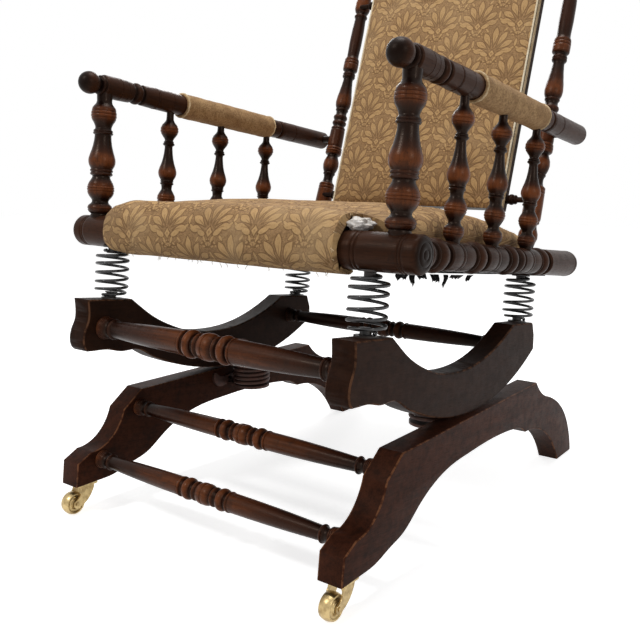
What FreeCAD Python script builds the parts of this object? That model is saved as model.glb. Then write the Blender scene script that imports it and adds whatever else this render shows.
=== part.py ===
import FreeCAD, Part
import Sketcher
import math
import os

os.makedirs("parts", exist_ok=True)
doc = FreeCAD.newDocument("platform_rocker")
V = FreeCAD.Vector
Rot = FreeCAD.Rotation
Pl = FreeCAD.Placement

# Sizes in millimetres and degrees. Two frames are used. The base stands on the floor and is
# drawn as it stands. Everything above it is drawn level, then leaned back about the line where
# the rockers touch the base.
values = [
    ("lean", 5.6, "how far the upper chair leans back at rest"),
    ("touchY", -34.0, "line where the rockers touch the base"),
    ("touchZ", 182.0, "height of that line"),
    ("rockGap", 2.8, "air under the rocker at rest, so that it clears when it rolls"),
    ("rockRadius", 465.0, "radius of the rocker edge"),
    ("baseHalf", 270.0, "outer face of a base side"),
    ("baseThick", 38.0, "thickness of a base side"),
    ("rockerInset", 8.0, "how far a rocker's outer face lies inside the base's"),
    ("rockerThick", 36.0, "thickness of a rocker side"),
    ("rockerTop", 308.0, "flat ends of the rocker, where the springs stand"),
    ("rockerEase", 2.0, "easing of the sawn edges of the rockers"),
    ("railZ", 413.0, "axis height of the seat rails"),
    ("railRadius", 24.0, "radius of the front rail"),
    ("railOver", 37.0, "how far the front rail runs past the side rails' axis"),
    ("railY", -329.0, "axis of the front rail"),
    ("rearRailY", 168.0, "middle of the hidden rear rail"),
    ("rearRailDeep", 76.0, "depth of the rear rail"),
    ("rearRailTall", 44.0, "height of the rear rail"),
    ("rearRailShort", 15.0, "how far the rear rail stops short of the side rails' axis"),
    ("sideX", 277.0, "axis of side rails, posts, spindles and arms"),
    ("sideEnd", 261.0, "rear end of the side rails"),
    ("armZ", 639.0, "axis height of the arms"),
    ("armFront", -376.0, "front end of the arms"),
    ("armRear", 255.0, "rear end of the arms"),
    ("sleeveLong", 238.0, "length of a padded sleeve on an arm"),
    ("lowerBarY", -350.0, "lower stretcher of the base"),
    ("lowerBarZ", 82.0, "height of that stretcher"),
    ("upperBarY", -270.0, "upper stretcher of the base"),
    ("upperBarZ", 150.0, "height of that stretcher"),
    ("frontBarY", -350.0, "front stretcher of the rockers"),
    ("frontBarZ", 264.0, "height of that stretcher"),
    ("rearBarY", 112.0, "rear stretcher of the rockers"),
    ("rearBarZ", 270.0, "height of that stretcher"),
    ("barTenon", 9.0, "tenon of a stretcher in its side"),
    ("springInset", 22.0, "from a rocker's outer face to the axis of its seat springs"),
    ("springFrontY", -329.0, "front seat springs"),
    ("springRearY", 150.0, "rear seat springs"),
    ("springWire", 3.8, "wire of a seat spring"),
    ("springRadius", 21.0, "middle radius of a seat spring"),
    ("platformWire", 7.0, "wire of a platform spring"),
    ("platformRadius", 30.5, "middle radius of a platform spring"),
    ("platformInset", 45.0, "from a base side's inner face to the platform spring's axis"),
    ("platformY", -40.0, "axis of a platform spring"),
    ("backX", 228.0, "axis of the back posts"),
    ("backY", 206.0, "back posts at the height below"),
    ("backZ", 510.0, "height where the back frame is measured from"),
    ("backLean", 12.5, "lean of the back against the seat frame"),
    ("crestAbove", 34.0, "crest rail above the top of the back frame"),
    ("finialAbove", 64.0, "tops of the back posts above the crest rail"),
    ("stileHalf", 182.0, "outer face of the back frame"),
    ("stileWide", 14.0, "width of a back stile"),
    ("stileDeep", 24.0, "depth of a back stile"),
    ("stileTall", 508.0, "length of a back stile"),
    ("stileLow", -14.0, "foot of the back frame, along the post"),
    ("stileNear", -30.0, "front face of the back frame, before the posts' axis"),
    ("frameBar", 34.0, "width of the back frame's cross bars"),
    ("castorY", -372.0, "axis of the castor swivel"),
    ("castorTrail", 22.0, "how far the wheel trails"),
    ("wheelRadius", 18.0, "castor wheel radius"),
    ("wheelWide", 18.0, "castor wheel width"),
    ("axleRadius", 3.0, "castor axle radius"),
    ("runFit", 0.05, "radial running clearance"),
    ("footZ", 48.0, "underside of the front foot"),
    ("padRise", 74.0, "crown of the seat above the rails' axis"),
    ("padEdge", 26.0, "from the side rails' axis to the seat pad"),
    ("rollFull", 34.0, "from the side rails' axis to the whole end of the seat's roll"),
    ("rollTorn", 72.0, "from the side rails' axis to the torn end of the roll"),
    ("centreY", -8.7, "moves everything so that the chair's box is centred on the origin"),
]
sheet = doc.addObject("Spreadsheet::Sheet", "Sizes")
for row, (name, value, note) in enumerate(values, 1):
    sheet.set("A%d" % row, name)
    sheet.set("B%d" % row, str(value))
    sheet.set("C%d" % row, note)
    sheet.setAlias("B%d" % row, name)
doc.recompute()


def size(name):
    return float(sheet.get(name))


innerBase = size("baseHalf") - size("baseThick")
outerRocker = size("baseHalf") - size("rockerInset")
innerRocker = outerRocker - size("rockerThick")
castorX = size("baseHalf") - size("baseThick") / 2
springX = outerRocker - size("springInset")
platformX = innerBase - size("platformInset")
touch = V(0, size("touchY"), size("touchZ"))
leanBack = Pl(V(0, 0, 0), Rot(V(1, 0, 0), -size("lean")), touch)
alongX = Rot(V(0, 1, 0), 90)
alongY = Rot(V(1, 0, 0), -90)
backPlace = leanBack.multiply(
    Pl(V(0, size("backY"), size("backZ")), Rot(V(1, 0, 0), -size("backLean"))))
pieces = []


def keep(thing, label, place=None):
    """Name a finished piece and put it in its place."""
    thing.Label = label
    if place is not None:
        thing.Placement = place
    pieces.append(thing)
    return thing


def level(x, y, z, turn=None):
    return leanBack.multiply(Pl(V(x, y, z), turn or Rot()))


def onBack(x, n, h, turn=None):
    return backPlace.multiply(Pl(V(x, n, h), turn or Rot()))


def plane(body, role):
    for item in body.Origin.OriginFeatures:
        if item.Role == role:
            return item


def outline(sketch, start, steps):
    """Closed outline: a step is a point for a line, (middle, end) for an arc, a list for a curve."""
    here = start
    first = sketch.GeometryCount
    items = []
    for step in steps:
        if isinstance(step, list):
            curve = Part.BSplineCurve()
            curve.interpolate([V(*here, 0)] + [V(*p, 0) for p in step])
            items.append(curve)
            end = step[-1]
        elif isinstance(step[0], tuple):
            middle, end = step
            items.append(Part.Arc(V(*here, 0), V(*middle, 0), V(*end, 0)))
        else:
            end = step
            items.append(Part.LineSegment(V(*here, 0), V(*end, 0)))
        here = end
    if math.dist(here, start) > 1e-6:
        items.append(Part.LineSegment(V(*here, 0), V(*start, 0)))
    sketch.addGeometry(items, False)
    last = sketch.GeometryCount - 1
    joins = []
    for n in range(first, last):
        joins.append(Sketcher.Constraint("Coincident", n, endOf(items[n - first]), n + 1,
                                         startOf(items[n + 1 - first])))
    sketch.addConstraint(joins)


def endOf(item):
    # a sketch stores arcs turning left, so an arc drawn clockwise ends at its first point
    return 1 if clockwise(item) else 2


def startOf(item):
    return 2 if clockwise(item) else 1


def clockwise(item):
    if not isinstance(item, Part.Arc):
        return False
    shape = item.toShape()
    a, m, b = [shape.valueAt(shape.FirstParameter + k * (shape.LastParameter
               - shape.FirstParameter) / 2.0) for k in range(3)]
    return (m - a).cross(b - m).z < 0


def sketchOn(body, role, offset=0.0):
    sketch = doc.addObject("Sketcher::SketchObject", "Sketch")
    body.addObject(sketch)
    sketch.AttachmentSupport = [(plane(body, role), "")]
    sketch.MapMode = "FlatFace"
    if offset:
        sketch.AttachmentOffset = Pl(V(0, 0, offset), Rot())
    return sketch


def newBody():
    return doc.addObject("PartDesign::Body", "Body")


def padOf(body, sketch, length, both=False):
    pad = doc.addObject("PartDesign::Pad", "Pad")
    body.addObject(pad)
    pad.Profile = sketch
    if isinstance(length, str):
        pad.setExpression("Length", "Sizes." + length)
        pad.Length = size(length)
    else:
        pad.Length = length
    if both:
        pad.Midplane = True
    return pad


def pocketOf(body, sketch, length, both=False):
    cut = doc.addObject("PartDesign::Pocket", "Pocket")
    body.addObject(cut)
    cut.Profile = sketch
    cut.Length = length
    if both:
        cut.Midplane = True
    return cut


def turned(label, start, steps, place):
    """Lathe a piece. A step is (length, radius reached, swell of the curve)."""
    body = newBody()
    sketch = sketchOn(body, "XZ_Plane")
    r, z = start, 0.0
    path = []
    if start > 0:
        path.append((start, 0.0))
    for dz, r2, swell in steps:
        z2 = z + dz
        if swell:
            run = math.hypot(dz, r2 - r)
            middle = ((r + r2) / 2 + swell * dz / run, (z + z2) / 2 - swell * (r2 - r) / run)
            path.append((middle, (r2, z2)))
        else:
            path.append((r2, z2))
        r, z = r2, z2
    if r > 0:
        path.append((0.0, z))
    outline(sketch, (0.0, 0.0), path)
    spin = doc.addObject("PartDesign::Revolution", "Revolution")
    body.addObject(spin)
    spin.Profile = sketch
    spin.ReferenceAxis = (sketch, ["V_Axis"])
    spin.Angle = 360.0
    return keep(body, label, place)


def flipped(start, steps):
    """The same turning seen from its other end."""
    radii = [start] + [s[1] for s in steps]
    back = []
    for n in range(len(steps) - 1, -1, -1):
        back.append((steps[n][0], radii[n], steps[n][2]))
    return radii[-1], back


def length(steps):
    return sum(s[0] for s in steps)


def stretched(steps, total, ends=1):
    """The same turning at another length; the tenons at its ends keep theirs."""
    fixed = length(steps[:ends]) + length(steps[-ends:])
    scale = (total - fixed) / (length(steps) - fixed)
    inner = [(s[0] * scale, s[1], s[2]) for s in steps[ends:-ends]]
    return steps[:ends] + inner + steps[-ends:]


def easedSide(label, blank, thick, ease, place):
    """A sawn side with its long edges eased; the blank is a padded sketch."""
    doc.recompute()
    edges = []
    for edge in blank.Shape.Edges:
        xs = [v.X for v in edge.Vertexes]
        if any(all(abs(x - p) < 1e-4 for x in xs) for p in (0.0, thick)):
            edges.append(edge)
    thing = doc.addObject("Part::Feature", "Side")
    thing.Shape = blank.Shape.makeChamfer(ease, edges)
    return keep(thing, label, place)


# the fixed base
baseTop = size("touchZ") - size("rockGap")
footZ = size("footZ")
baseOutline = [
    (-302, 152), [(-314, 127.5), (-337, 106), (-369, 98)], (-395, 85),
    (-399, footZ), (-346, footZ),
    [(-318, 51), (-292, 58), (-256, 67), (-223, 86.5), (-188, 104.5), (-144, 117.5), (-70, 123.5),
     (-6, 124.5), (60, 122), (107, 117)],
    [(134, 111.5), (158, 99)], ((257, 72), (330, 0)), (402, 0),
    [(380, 55), (347, 94.5), (300, 125), (262, 140)], ((222, 157), (197, baseTop)),
]


def baseSide(label, x):
    body = newBody()
    sketch = sketchOn(body, "YZ_Plane")
    outline(sketch, (-264, baseTop), baseOutline)
    padOf(body, sketch, "baseThick")
    return keep(body, label, Pl(V(x, 0, 0), Rot()))


baseSide("base_side_left", innerBase)
baseSide("base_side_right", -size("baseHalf"))


def stretcher(label, half, scale, place):
    """A turned stretcher: fine rings, a long swelling taper, then beads round the middle."""
    tip = [
        (9, 9 * scale, 0), (0, 13 * scale, 0), (4, 13 * scale, 1.4), (3, 12.4 * scale, 1.0),
        (3, 12.0 * scale, 1.0), (3, 11.6 * scale, 1.0), (7, 9.6 * scale, -1.2),
        (3, 11 * scale, 0), (4, 11 * scale, 1.6), (1.5, 10 * scale, 0)]
    heart = [
        (1.5, 13.5 * scale, 0), (4, 13.5 * scale, 1.5), (5, 11 * scale, -1.4),
        (14, 11 * scale, 5.2 * scale), (4, 10.5 * scale, -0.8), (2, 13 * scale, 0),
        (4, 13 * scale, 1.2), (2, 11.5 * scale, 0)]
    middle = [(13, 15.5 * scale, 1.6), (1, 15.5 * scale, -0.6)]
    run = half - length(tip) - length(heart) - length(middle)
    side = tip + [(run, 14.0 * scale, 0.9)] + heart + middle
    start, back = flipped(9 * scale, side)
    return turned(label, 9 * scale, side + back, place)


baseBar = innerBase + size("barTenon")
stretcher("base_lower_stretcher", baseBar, 1.0,
          Pl(V(-baseBar, size("lowerBarY"), size("lowerBarZ")), alongX))
stretcher("base_upper_stretcher", baseBar, 1.0,
          Pl(V(-baseBar, size("upperBarY"), size("upperBarZ")), alongX))

# castors under the front feet
plateThick = 4.0


def screws(label, spots, radius=1.9, head=3.0):
    """Identical countersunk wood screws kept together: each spot is (place, length)."""
    made = []
    for place, run in spots:
        cone = doc.addObject("Part::Cone", "Head")
        cone.Radius1 = head
        cone.Radius2 = radius
        cone.Height = 2.0
        shank = doc.addObject("Part::Cylinder", "Shank")
        shank.Radius = radius
        shank.Height = run
        shank.Placement = Pl(V(0, 0, 2.0), Rot())
        one = doc.addObject("Part::Fuse", "Screw")
        one.Base = cone
        one.Tool = shank
        one.Placement = place
        made.append(one)
    group = doc.addObject("Part::Compound", "Screws")
    group.Links = made
    return keep(group, label)


def castor(side, sign):
    x, y = sign * castorX, size("castorY")
    top = footZ
    plate = newBody()
    sketch = sketchOn(plate, "XY_Plane")
    h = 16.0
    c = 4.0
    outline(sketch, (-h + c, -h), [
        (h - c, -h), ((h - c * 0.293, -h + c * 0.293), (h, -h + c)), (h, h - c),
        ((h - c * 0.293, h - c * 0.293), (h - c, h)), (-h + c, h),
        ((-h + c * 0.293, h - c * 0.293), (-h, h - c)), (-h, -h + c),
        ((-h + c * 0.293, -h + c * 0.293), (-h + c, -h))])
    padOf(plate, sketch, plateThick)
    hole = sketchOn(plate, "XY_Plane")
    hole.addGeometry(Part.Circle(V(0, 0, 0), V(0, 0, 1), 4.0 + size("runFit")), False)
    for a in (45, 135, 225, 315):
        spot = V(15.0 * math.cos(math.radians(a)), 15.0 * math.sin(math.radians(a)), 0)
        hole.addGeometry(Part.Circle(spot, V(0, 0, 1), 1.95), False)
    cut = pocketOf(plate, hole, plateThick)
    cut.Reversed = True
    keep(plate, "castor_plate_" + side, Pl(V(x, y, top - plateThick), Rot()))

    fork = newBody()
    cheek = sketchOn(fork, "YZ_Plane")
    t = size("castorTrail")
    drop = top - plateThick - 0.3 - size("wheelRadius")
    # outline of the horn seen from the side, with the axle at the origin
    outline(cheek, (t - 12, drop), [
        ((t - 12.5, drop - 6), (t - 15.5, drop - 11)), ((2.0, 8.0), (-4.4, 5.2)),
        ((-6.6, -1.6), (-1.0, -6.7)), ((13.5, -2.0), (t + 6.5, drop - 12)),
        ((t + 9.6, drop - 6), (t + 10, drop))])
    padOf(fork, cheek, 24.4, True)
    space = sketchOn(fork, "XZ_Plane")
    outline(space, (-9.6, -30), [(9.6, -30), (9.6, drop - 9), ((0, drop - 2.6), (-9.6, drop - 9))])
    gap = pocketOf(fork, space, 200, True)
    bore = sketchOn(fork, "YZ_Plane")
    bore.addGeometry(Part.Circle(V(0, 0, 0), V(0, 0, 1), size("axleRadius")), False)
    pocketOf(fork, bore, 60, True)
    spigot = sketchOn(fork, "XY_Plane", drop - 0.5)
    spigot.addGeometry(Part.Circle(V(0, t, 0), V(0, 0, 1), 4.0), False)
    padOf(fork, spigot, 4.2)
    keep(fork, "castor_fork_" + side, Pl(V(x, y - t, size("wheelRadius")), Rot()))

    w = size("wheelWide")
    r = size("wheelRadius")
    hub = size("axleRadius") + size("runFit")
    body = newBody()
    half = sketchOn(body, "XZ_Plane")
    outline(half, (hub, 0), [
        (7.0, 0), (8.2, 2.2), ((11.0, 3.4), (13.6, 1.6)), ((15.4, 0.6), (16.6, 2.0)),
        ((r, w / 2), (16.6, w - 2.0)), ((15.4, w - 0.6), (13.6, w - 1.6)),
        ((11.0, w - 3.4), (8.2, w - 2.2)), (7.0, w), (hub, w)])
    spin = doc.addObject("PartDesign::Revolution", "Revolution")
    body.addObject(spin)
    spin.Profile = half
    spin.ReferenceAxis = (half, ["V_Axis"])
    spin.Angle = 360.0
    keep(body, "castor_wheel_" + side, Pl(V(x - w / 2, y - t, r), alongX))

    axle = doc.addObject("Part::Cylinder", "Axle")
    axle.Height = 27.0
    axle.setExpression("Radius", "Sizes.axleRadius")
    keep(axle, "castor_axle_" + side, Pl(V(x - 13.5, y - t, r), alongX))


castor("left", 1)
castor("right", -1)
baseSpots = []
for sign in (1, -1):
    for a in (45, 135, 225, 315):
        dx = 15.0 * math.cos(math.radians(a))
        dy = 15.0 * math.sin(math.radians(a))
        baseSpots.append((Pl(V(sign * castorX + dx, size("castorY") + dy,
                               footZ - plateThick), Rot()), 14.0))

# rockers
rockTop = size("rockerTop")
lean = math.radians(size("lean"))
R = size("rockRadius")
cy = size("touchY") - R * math.sin(lean)
cz = size("touchZ") + R * math.cos(lean)


def onArc(y):
    return (y, cz - math.sqrt(R * R - (y - cy) ** 2))


rockerOutline = [
    [(-380.5, 292), (-381, 275), (-386, 262), (-388.5, 246), (-386, 235), (-379, 228)],
    [(-360, 228.5), (-341, 228.6), (-312, 224)] + [onArc(y) for y in range(-280, 190, 29)],
    (181, 286), (170, rockTop), (86, rockTop),
    [(30, 278.5), (-27, 258.5), (-65, 251), (-103, 247.8), (-144, 248.6), (-180, 254),
     (-210, 262.5), (-254, 281), (-277, 295), (-297, rockTop)],
]


def rockerSide(label, x):
    body = newBody()
    sketch = sketchOn(body, "YZ_Plane")
    outline(sketch, (-383, rockTop), rockerOutline)
    padOf(body, sketch, "rockerThick")
    return easedSide(label, body, size("rockerThick"), size("rockerEase"), level(x, 0, 0))


rockerSide("rocker_side_left", innerRocker)
rockerSide("rocker_side_right", -outerRocker)
rockerBar = innerRocker + size("barTenon")
stretcher("rocker_front_stretcher", rockerBar, 1.28,
          level(-rockerBar, size("frontBarY"), size("frontBarZ"), alongX))
stretcher("rocker_rear_stretcher", rockerBar, 1.0,
          level(-rockerBar, size("rearBarY"), size("rearBarZ"), alongX))


# coil springs
def coilPath(points, tangents):
    """Smooth wire through points on a coil, made of pairs of arcs."""
    edges = []
    for n in range(len(points) - 1):
        p0, p1 = points[n], points[n + 1]
        t0, t1 = tangents[n], tangents[n + 1]
        v = p1 - p0
        t = t0 + t1
        a = 2 * (1 - t0.dot(t1))
        b = 2 * v.dot(t)
        c = -v.dot(v)
        d = -c / b if a < 1e-9 else (-b + math.sqrt(b * b - 4 * a * c)) / (2 * a)
        q0 = p0 + t0 * d
        q1 = p1 - t1 * d
        m = (q0 + q1) * 0.5
        for s, q, e in ((p0, q0, m), (m, q1, p1)):
            mid = (s + e) * 0.5
            turn = (e - s).getAngle(q - s)
            edges.append(Part.Arc(s, mid + (q - mid) * (math.tan(turn / 2) / math.tan(turn)),
                                  e).toShape())
    return Part.Wire(edges)


def coil(label, wire, turns, radiusAt, heightAt, begin, place):
    """One unbroken tube of round wire."""
    count = int(round(turns * 4))

    def spot(u):
        a = begin + u * turns * 2 * math.pi
        r = radiusAt(u)
        return V(r * math.cos(a), r * math.sin(a), heightAt(u))

    points = []
    tangents = []
    for n in range(count + 1):
        u = n / count
        lo, hi = max(0.0, u - 1e-4), min(1.0, u + 1e-4)
        step = spot(hi) - spot(lo)
        points.append(spot(u))
        tangents.append(step.normalize())
    path = coilPath(points, tangents)
    ring = Part.Wire([Part.Circle(points[0], tangents[0], wire / 2.0).toShape()])
    shell = Part.BRepOffsetAPI.MakePipeShell(path)
    shell.add(ring)
    shell.build()
    shell.makeSolid()
    tube = shell.shape()
    fine = [spot(k / 2000.0) for k in range(2001)]
    least = 1e9
    hop = int(2000 / turns * 0.55)
    for i in range(0, 2001, 8):
        for j in range(i + hop, 2001, 8):
            least = min(least, fine[i].distanceToPoint(fine[j]))
    print(label, "least gap between turns %.2f" % (least - wire), "closed", tube.isClosed())
    thing = doc.addObject("Part::Feature", "Coil")
    thing.Shape = tube
    return keep(thing, label, place)


def ease(u, turns):
    """0 in the end turn on a spool, 1 along the open coil."""
    k = min(u, 1 - u) * turns
    k = min(1.0, k / 0.9)
    return k * k * (3 - 2 * k)


springLow = rockTop
springHigh = size("railZ") - size("railRadius")
seatTurns = 6.25
tall = springHigh - springLow
springEnd = 2.4 + size("springWire") / 2 + 0.3


def seatRadius(u):
    return 12.2 + (size("springRadius") - 12.2) * ease(u, seatTurns)


def seatHeight(u):
    return springEnd + (tall - 2 * springEnd) * (u - 0.044 * math.sin(2 * math.pi * u))


corners = [("front_left", 1, "springFrontY", 0.0), ("front_right", -1, "springFrontY", math.pi),
           ("rear_left", 1, "springRearY", 0.0), ("rear_right", -1, "springRearY", math.pi)]
for where, sign, rowName, begin in corners:
    coil("seat_spring_" + where, size("springWire"), seatTurns, seatRadius, seatHeight, begin,
         level(sign * springX, size(rowName), springLow))

platformTurns = 5.25
pw = size("platformWire")
platformLow = size("touchZ") - 26.0
platformHigh = platformLow + platformTurns * (pw + 0.75)
for side, sign in (("left", 1), ("right", -1)):
    coil("platform_spring_" + side, pw, platformTurns,
         lambda u: size("platformRadius"),
         lambda u: u * (platformHigh - platformLow),
         0.0 if sign > 0 else math.pi,
         Pl(V(sign * platformX, size("platformY"), platformLow), Rot()))


def spools(label, spots):
    """Iron spools that hold the ends of the seat springs."""
    made = []
    profile = [(0, 0), (15, 0), (15, 2.4), (8.8, 2.4), (7.6, 3.6), (7.6, 9.0), (9.6, 9.8),
               (9.6, 11.4), (0, 11.4)]
    wire = Part.makePolygon([V(r, 0, z) for r, z in profile] + [V(0, 0, 0)])
    shape = Part.Face(wire).revolve(V(0, 0, 0), V(0, 0, 1), 360)
    for place in spots:
        one = doc.addObject("Part::Feature", "Spool")
        one.Shape = shape
        one.Placement = place
        made.append(one)
    group = doc.addObject("Part::Compound", "Spools")
    group.Links = made
    return keep(group, label)


upside = Rot(V(1, 0, 0), 180)
spools("lower_spring_spools",
       [level(s * springX, size(row), springLow) for _, s, row, _ in corners])
spools("upper_spring_spools",
       [level(s * springX, size(row), springHigh + (2.0 if "Front" in row else 0.0),
              upside) for _, s, row, _ in corners])


def springBracket(label, outlinePoints, seatZ, face, sign, place=None):
    """Iron plate on the inner face of a side, with a round seat for the platform spring."""
    body = newBody()
    sketch = sketchOn(body, "YZ_Plane")
    outline(sketch, outlinePoints[0], outlinePoints[1:])
    pad = padOf(body, sketch, 5.0)
    pad.Reversed = sign > 0
    shelf = sketchOn(body, "XY_Plane", seatZ)
    px = sign * (platformX - face)
    py = size("platformY")
    r = 33.0
    w = 24.0
    outline(shelf, (0, py - w), [
        (px + sign * 22.0, py - w),
        ((px - sign * r, py), (px + sign * 22.0, py + w)), (0, py + w)])
    padOf(body, shelf, 4.5)
    return keep(body, label, place if place is not None else Pl(V(sign * face, 0, 0), Rot()))


lowSeat = platformLow - pw / 2 - 0.3 - 4.5
highSeat = platformHigh + pw / 2 + 0.3
py = size("platformY")
hornTop = lowSeat + 25.3
for side, sign in (("left", 1), ("right", -1)):
    springBracket("base_spring_bracket_" + side, [
        (py - 58, hornTop - 3), ((py - 52, hornTop - 21), (py - 30, lowSeat)), (py + 30, lowSeat),
        (py + 30, lowSeat + 18), (py - 20, lowSeat + 18), ((py - 44, lowSeat + 20),
        (py - 50, hornTop)), ((py - 54, hornTop + 1), (py - 58, hornTop - 3))],
        lowSeat, innerBase, sign)
    springBracket("rocker_spring_bracket_" + side, [
        (py - 30, highSeat), (py + 30, highSeat), (py + 30, highSeat + 22),
        ((py, highSeat + 30), (py - 30, highSeat + 22))], highSeat, innerRocker, sign)


def bracketSpots(face, z):
    spots = []
    for sign in (1, -1):
        turn = Rot(V(0, 1, 0), 90 * sign)
        for dy in (-16, 16):
            spots.append((Pl(V(sign * (face - 5.0), py + dy, z), turn), 14.0))
    return spots


screws("base_screws", baseSpots + bracketSpots(innerBase, lowSeat + 11.5))
screws("rocker_bracket_screws", bracketSpots(innerRocker, highSeat + 15.0))

# seat frame
railZ = size("railZ")
sideX = size("sideX")
rr = size("railRadius")
half = sideX + size("railOver")
beadSwell = 0.5
endTurn = [(3.0, rr, 2.2), (66, rr, 0), (1.6, rr, -1.2), (3.4, rr, beadSwell), (1.6, rr, -1.2)]
startR, otherEnd = flipped(rr - 4, endTurn)
turned("front_rail", rr - 4, endTurn + [(2 * half - 2 * length(endTurn), rr, 0)] + otherEnd,
       level(-half, size("railY"), railZ, alongX))

rear = newBody()
rearSketch = sketchOn(rear, "YZ_Plane")
d2 = size("rearRailDeep") / 2
t2 = size("rearRailTall") / 2
outline(rearSketch, (-d2, -t2), [(d2, -t2), (d2, t2 - 3), (d2 - 3, t2), (-d2 + 3, t2),
                                 (-d2, t2 - 3)])
rearHalf = sideX - size("rearRailShort")
rearPad = padOf(rear, rearSketch, 2 * rearHalf)
rearPad.setExpression("Length", "2 * (Sizes.sideX - Sizes.rearRailShort)")
keep(rear, "rear_rail", level(-rearHalf, size("rearRailY"), railZ - 2.0))

# side rails: a tenon in the front rail, then a row of turned drums and beads
drum = [(2.0, 17.5, -0.6), (4.0, 19.0, 0.8), (22.0, 19.0, 4.0), (4.0, 17.5, 0.8),
        (2.0, 15.5, -0.6), (6.0, 15.5, -0.8)]
plain = [(3.0, 19.5, 1.0), (26.0, 19.5, 0.8), (1.2, 19.5, -0.7), (8.0, 19.5, 0.6),
         (1.2, 19.5, -0.7), (26.0, 19.5, 0.8), (3.0, 15.5, 1.0)]
sideSteps = [(18, 12, 0), (0, 14, 0), (8, 15, -1.0), (5, 18.5, 1.6), (16, 18.5, 2.6),
             (4, 15.5, 1.2), (4, 15.5, -0.8)]
sideSteps += drum + plain + [(5, 15.5, -0.8)] + drum + plain + [(5, 15.5, -0.8)] + drum
sideSteps += [(3, 18.5, 0.6), (14, 18.5, 2.2), (3, 15.5, 0.6)] + plain + drum
tailLength = size("sideEnd") - size("railY") - rr + 10 - length(sideSteps)
sideSteps += [(3, 21.5, 1.0), (tailLength - 18, 22.5, 0), (1.4, 22.5, -0.9), (6.6, 22.5, 0.3),
              (7.0, 14.5, 2.6)]
for side, sign in (("left", 1), ("right", -1)):
    turned("side_rail_" + side, 12, sideSteps,
           level(sign * sideX, size("railY") + rr - 10, railZ, alongY))

# posts, spindles and arms
armZ = size("armZ")
postSteps = [
    (10, 10, 0), (0, 13, 0), (7, 13, -0.8), (2, 15.5, 0.6), (12, 14.5, 3.6), (5, 12.3, -0.9),
    (9.5, 18.6, 1.2), (1.2, 18.8, -0.7), (8.5, 18.8, 0.9), (1.2, 18.6, -0.7), (9.5, 12.6, 1.2),
    (4, 12.6, -1.0), (2.6, 16.5, 0.4), (1.0, 16.5, -0.5), (2.6, 15.8, 0.8), (9, 19.4, 1.5),
    (16, 17.0, 0.7), (27, 12.9, -1.6), (1.5, 14.8, 0), (3.0, 14.8, 0.9), (1.5, 13.3, 0),
    (9, 12.2, -1.6), (1.5, 15.5, 0), (5.5, 17.6, 0.6), (1.0, 17.6, -0.6), (5.5, 18.0, 0.6),
    (1.0, 17.8, -0.6), (5.5, 15.0, 0.9), (3, 12.2, -0.6), (11.6, 12.0, -0.4), (9, 12.0, 0)]
spindleSteps = [
    (10, 6, 0), (2, 6.8, 0), (6, 6.8, -0.8), (2, 11.0, 0.5), (9, 10.5, 3.0), (5, 7.2, -0.9),
    (11, 15.0, 2.0), (1.0, 15.1, -0.6), (11, 8.6, 2.0), (5, 8.0, -0.8), (2.2, 11.5, 0.4),
    (2.2, 10.5, 0.8), (9, 15.3, 1.6), (13, 13.4, 0.8), (28, 7.6, -1.8), (1.4, 9.8, 0),
    (2.8, 9.8, 0.8), (1.4, 8.6, 0), (10, 8.2, -1.3), (3, 12.6, 0.6), (5.0, 14.4, 0.5),
    (1.0, 14.5, -0.5), (5.2, 14.5, 0.6), (1.0, 14.4, -0.5), (5.0, 12.0, 0.6), (3.5, 6.6, 0.8),
    (17, 6.0, -0.3), (12, 6.0, 0)]
ringDepth = rr - math.sqrt(rr * rr - 13 * 13)
postFoot = railZ + rr - ringDepth - 10
postTop = armZ - 15.5 + 8
postSteps = stretched(postSteps, postTop - postFoot)
spindleFoot = railZ + 19.0 - 10
spindleSteps = stretched(spindleSteps, armZ - 16.0 + 9 - spindleFoot)
print("post neck", round(postSteps[-2][0], 1), "spindle neck", round(spindleSteps[-2][0], 1))

armSteps = [
    (17, 17, 4.98), (14.1, 9.6, 1.99), (1.5, 9.6, 0), (1.5, 13.5, 0), (4, 14.5, 1.0),
    (2, 14.2, -0.6), (3, 17.0, 0.6), (26, 17.4, 0), (1.2, 17.4, -0.7), (12, 17.0, 0),
    (1.2, 17.0, -0.7), (8, 16.6, 0), (5, 13.0, 1.2), (4, 12.6, -0.9), (14, 12.6, 4.6),
    (3, 12.6, -0.8), (3, 16.4, 1.0), (24, 17.2, 0), (1.2, 17.2, -0.7), (1.8, 17.2, 0.3),
    (1.2, 17.2, -0.7), (30, 17.6, 0), (1.2, 17.6, -0.7), (22, 17.2, 0), (6.1, 17.0, 0),
    (size("sleeveLong"), 17.0, 0), (5, 17.0, 0), (1.2, 17.0, -0.7), (14, 17.4, 0), (4, 14.2, 1.0),
    (3, 14.0, -0.6), (6, 17.2, 1.4), (1.2, 17.4, -0.7), (34, 17.6, 0), (1.2, 17.4, -0.7),
    (3, 17.4, 0.4), (1.2, 17.4, -0.7)]
armLong = size("armRear") - size("armFront")
armSteps += [(armLong - length(armSteps) - 6, 17.4, 0), (6, 12.5, 1.8)]
sleeveFront = size("armFront") + length(armSteps[:25])
print("arm tail", round(armSteps[-2][0], 1), "sleeve starts", round(sleeveFront, 1))
spindleRows = (("front", -190), ("middle", -64), ("rear", 66))
for side, sign in (("left", 1), ("right", -1)):
    x = sign * sideX
    turned("front_post_" + side, 10, postSteps, level(x, size("railY"), postFoot))
    for word, y in spindleRows:
        turned("spindle_%s_%s" % (word, side), 6, spindleSteps, level(x, y, spindleFoot))
    turned("arm_" + side, 0, armSteps, level(x, size("armFront"), armZ, alongY))

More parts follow.
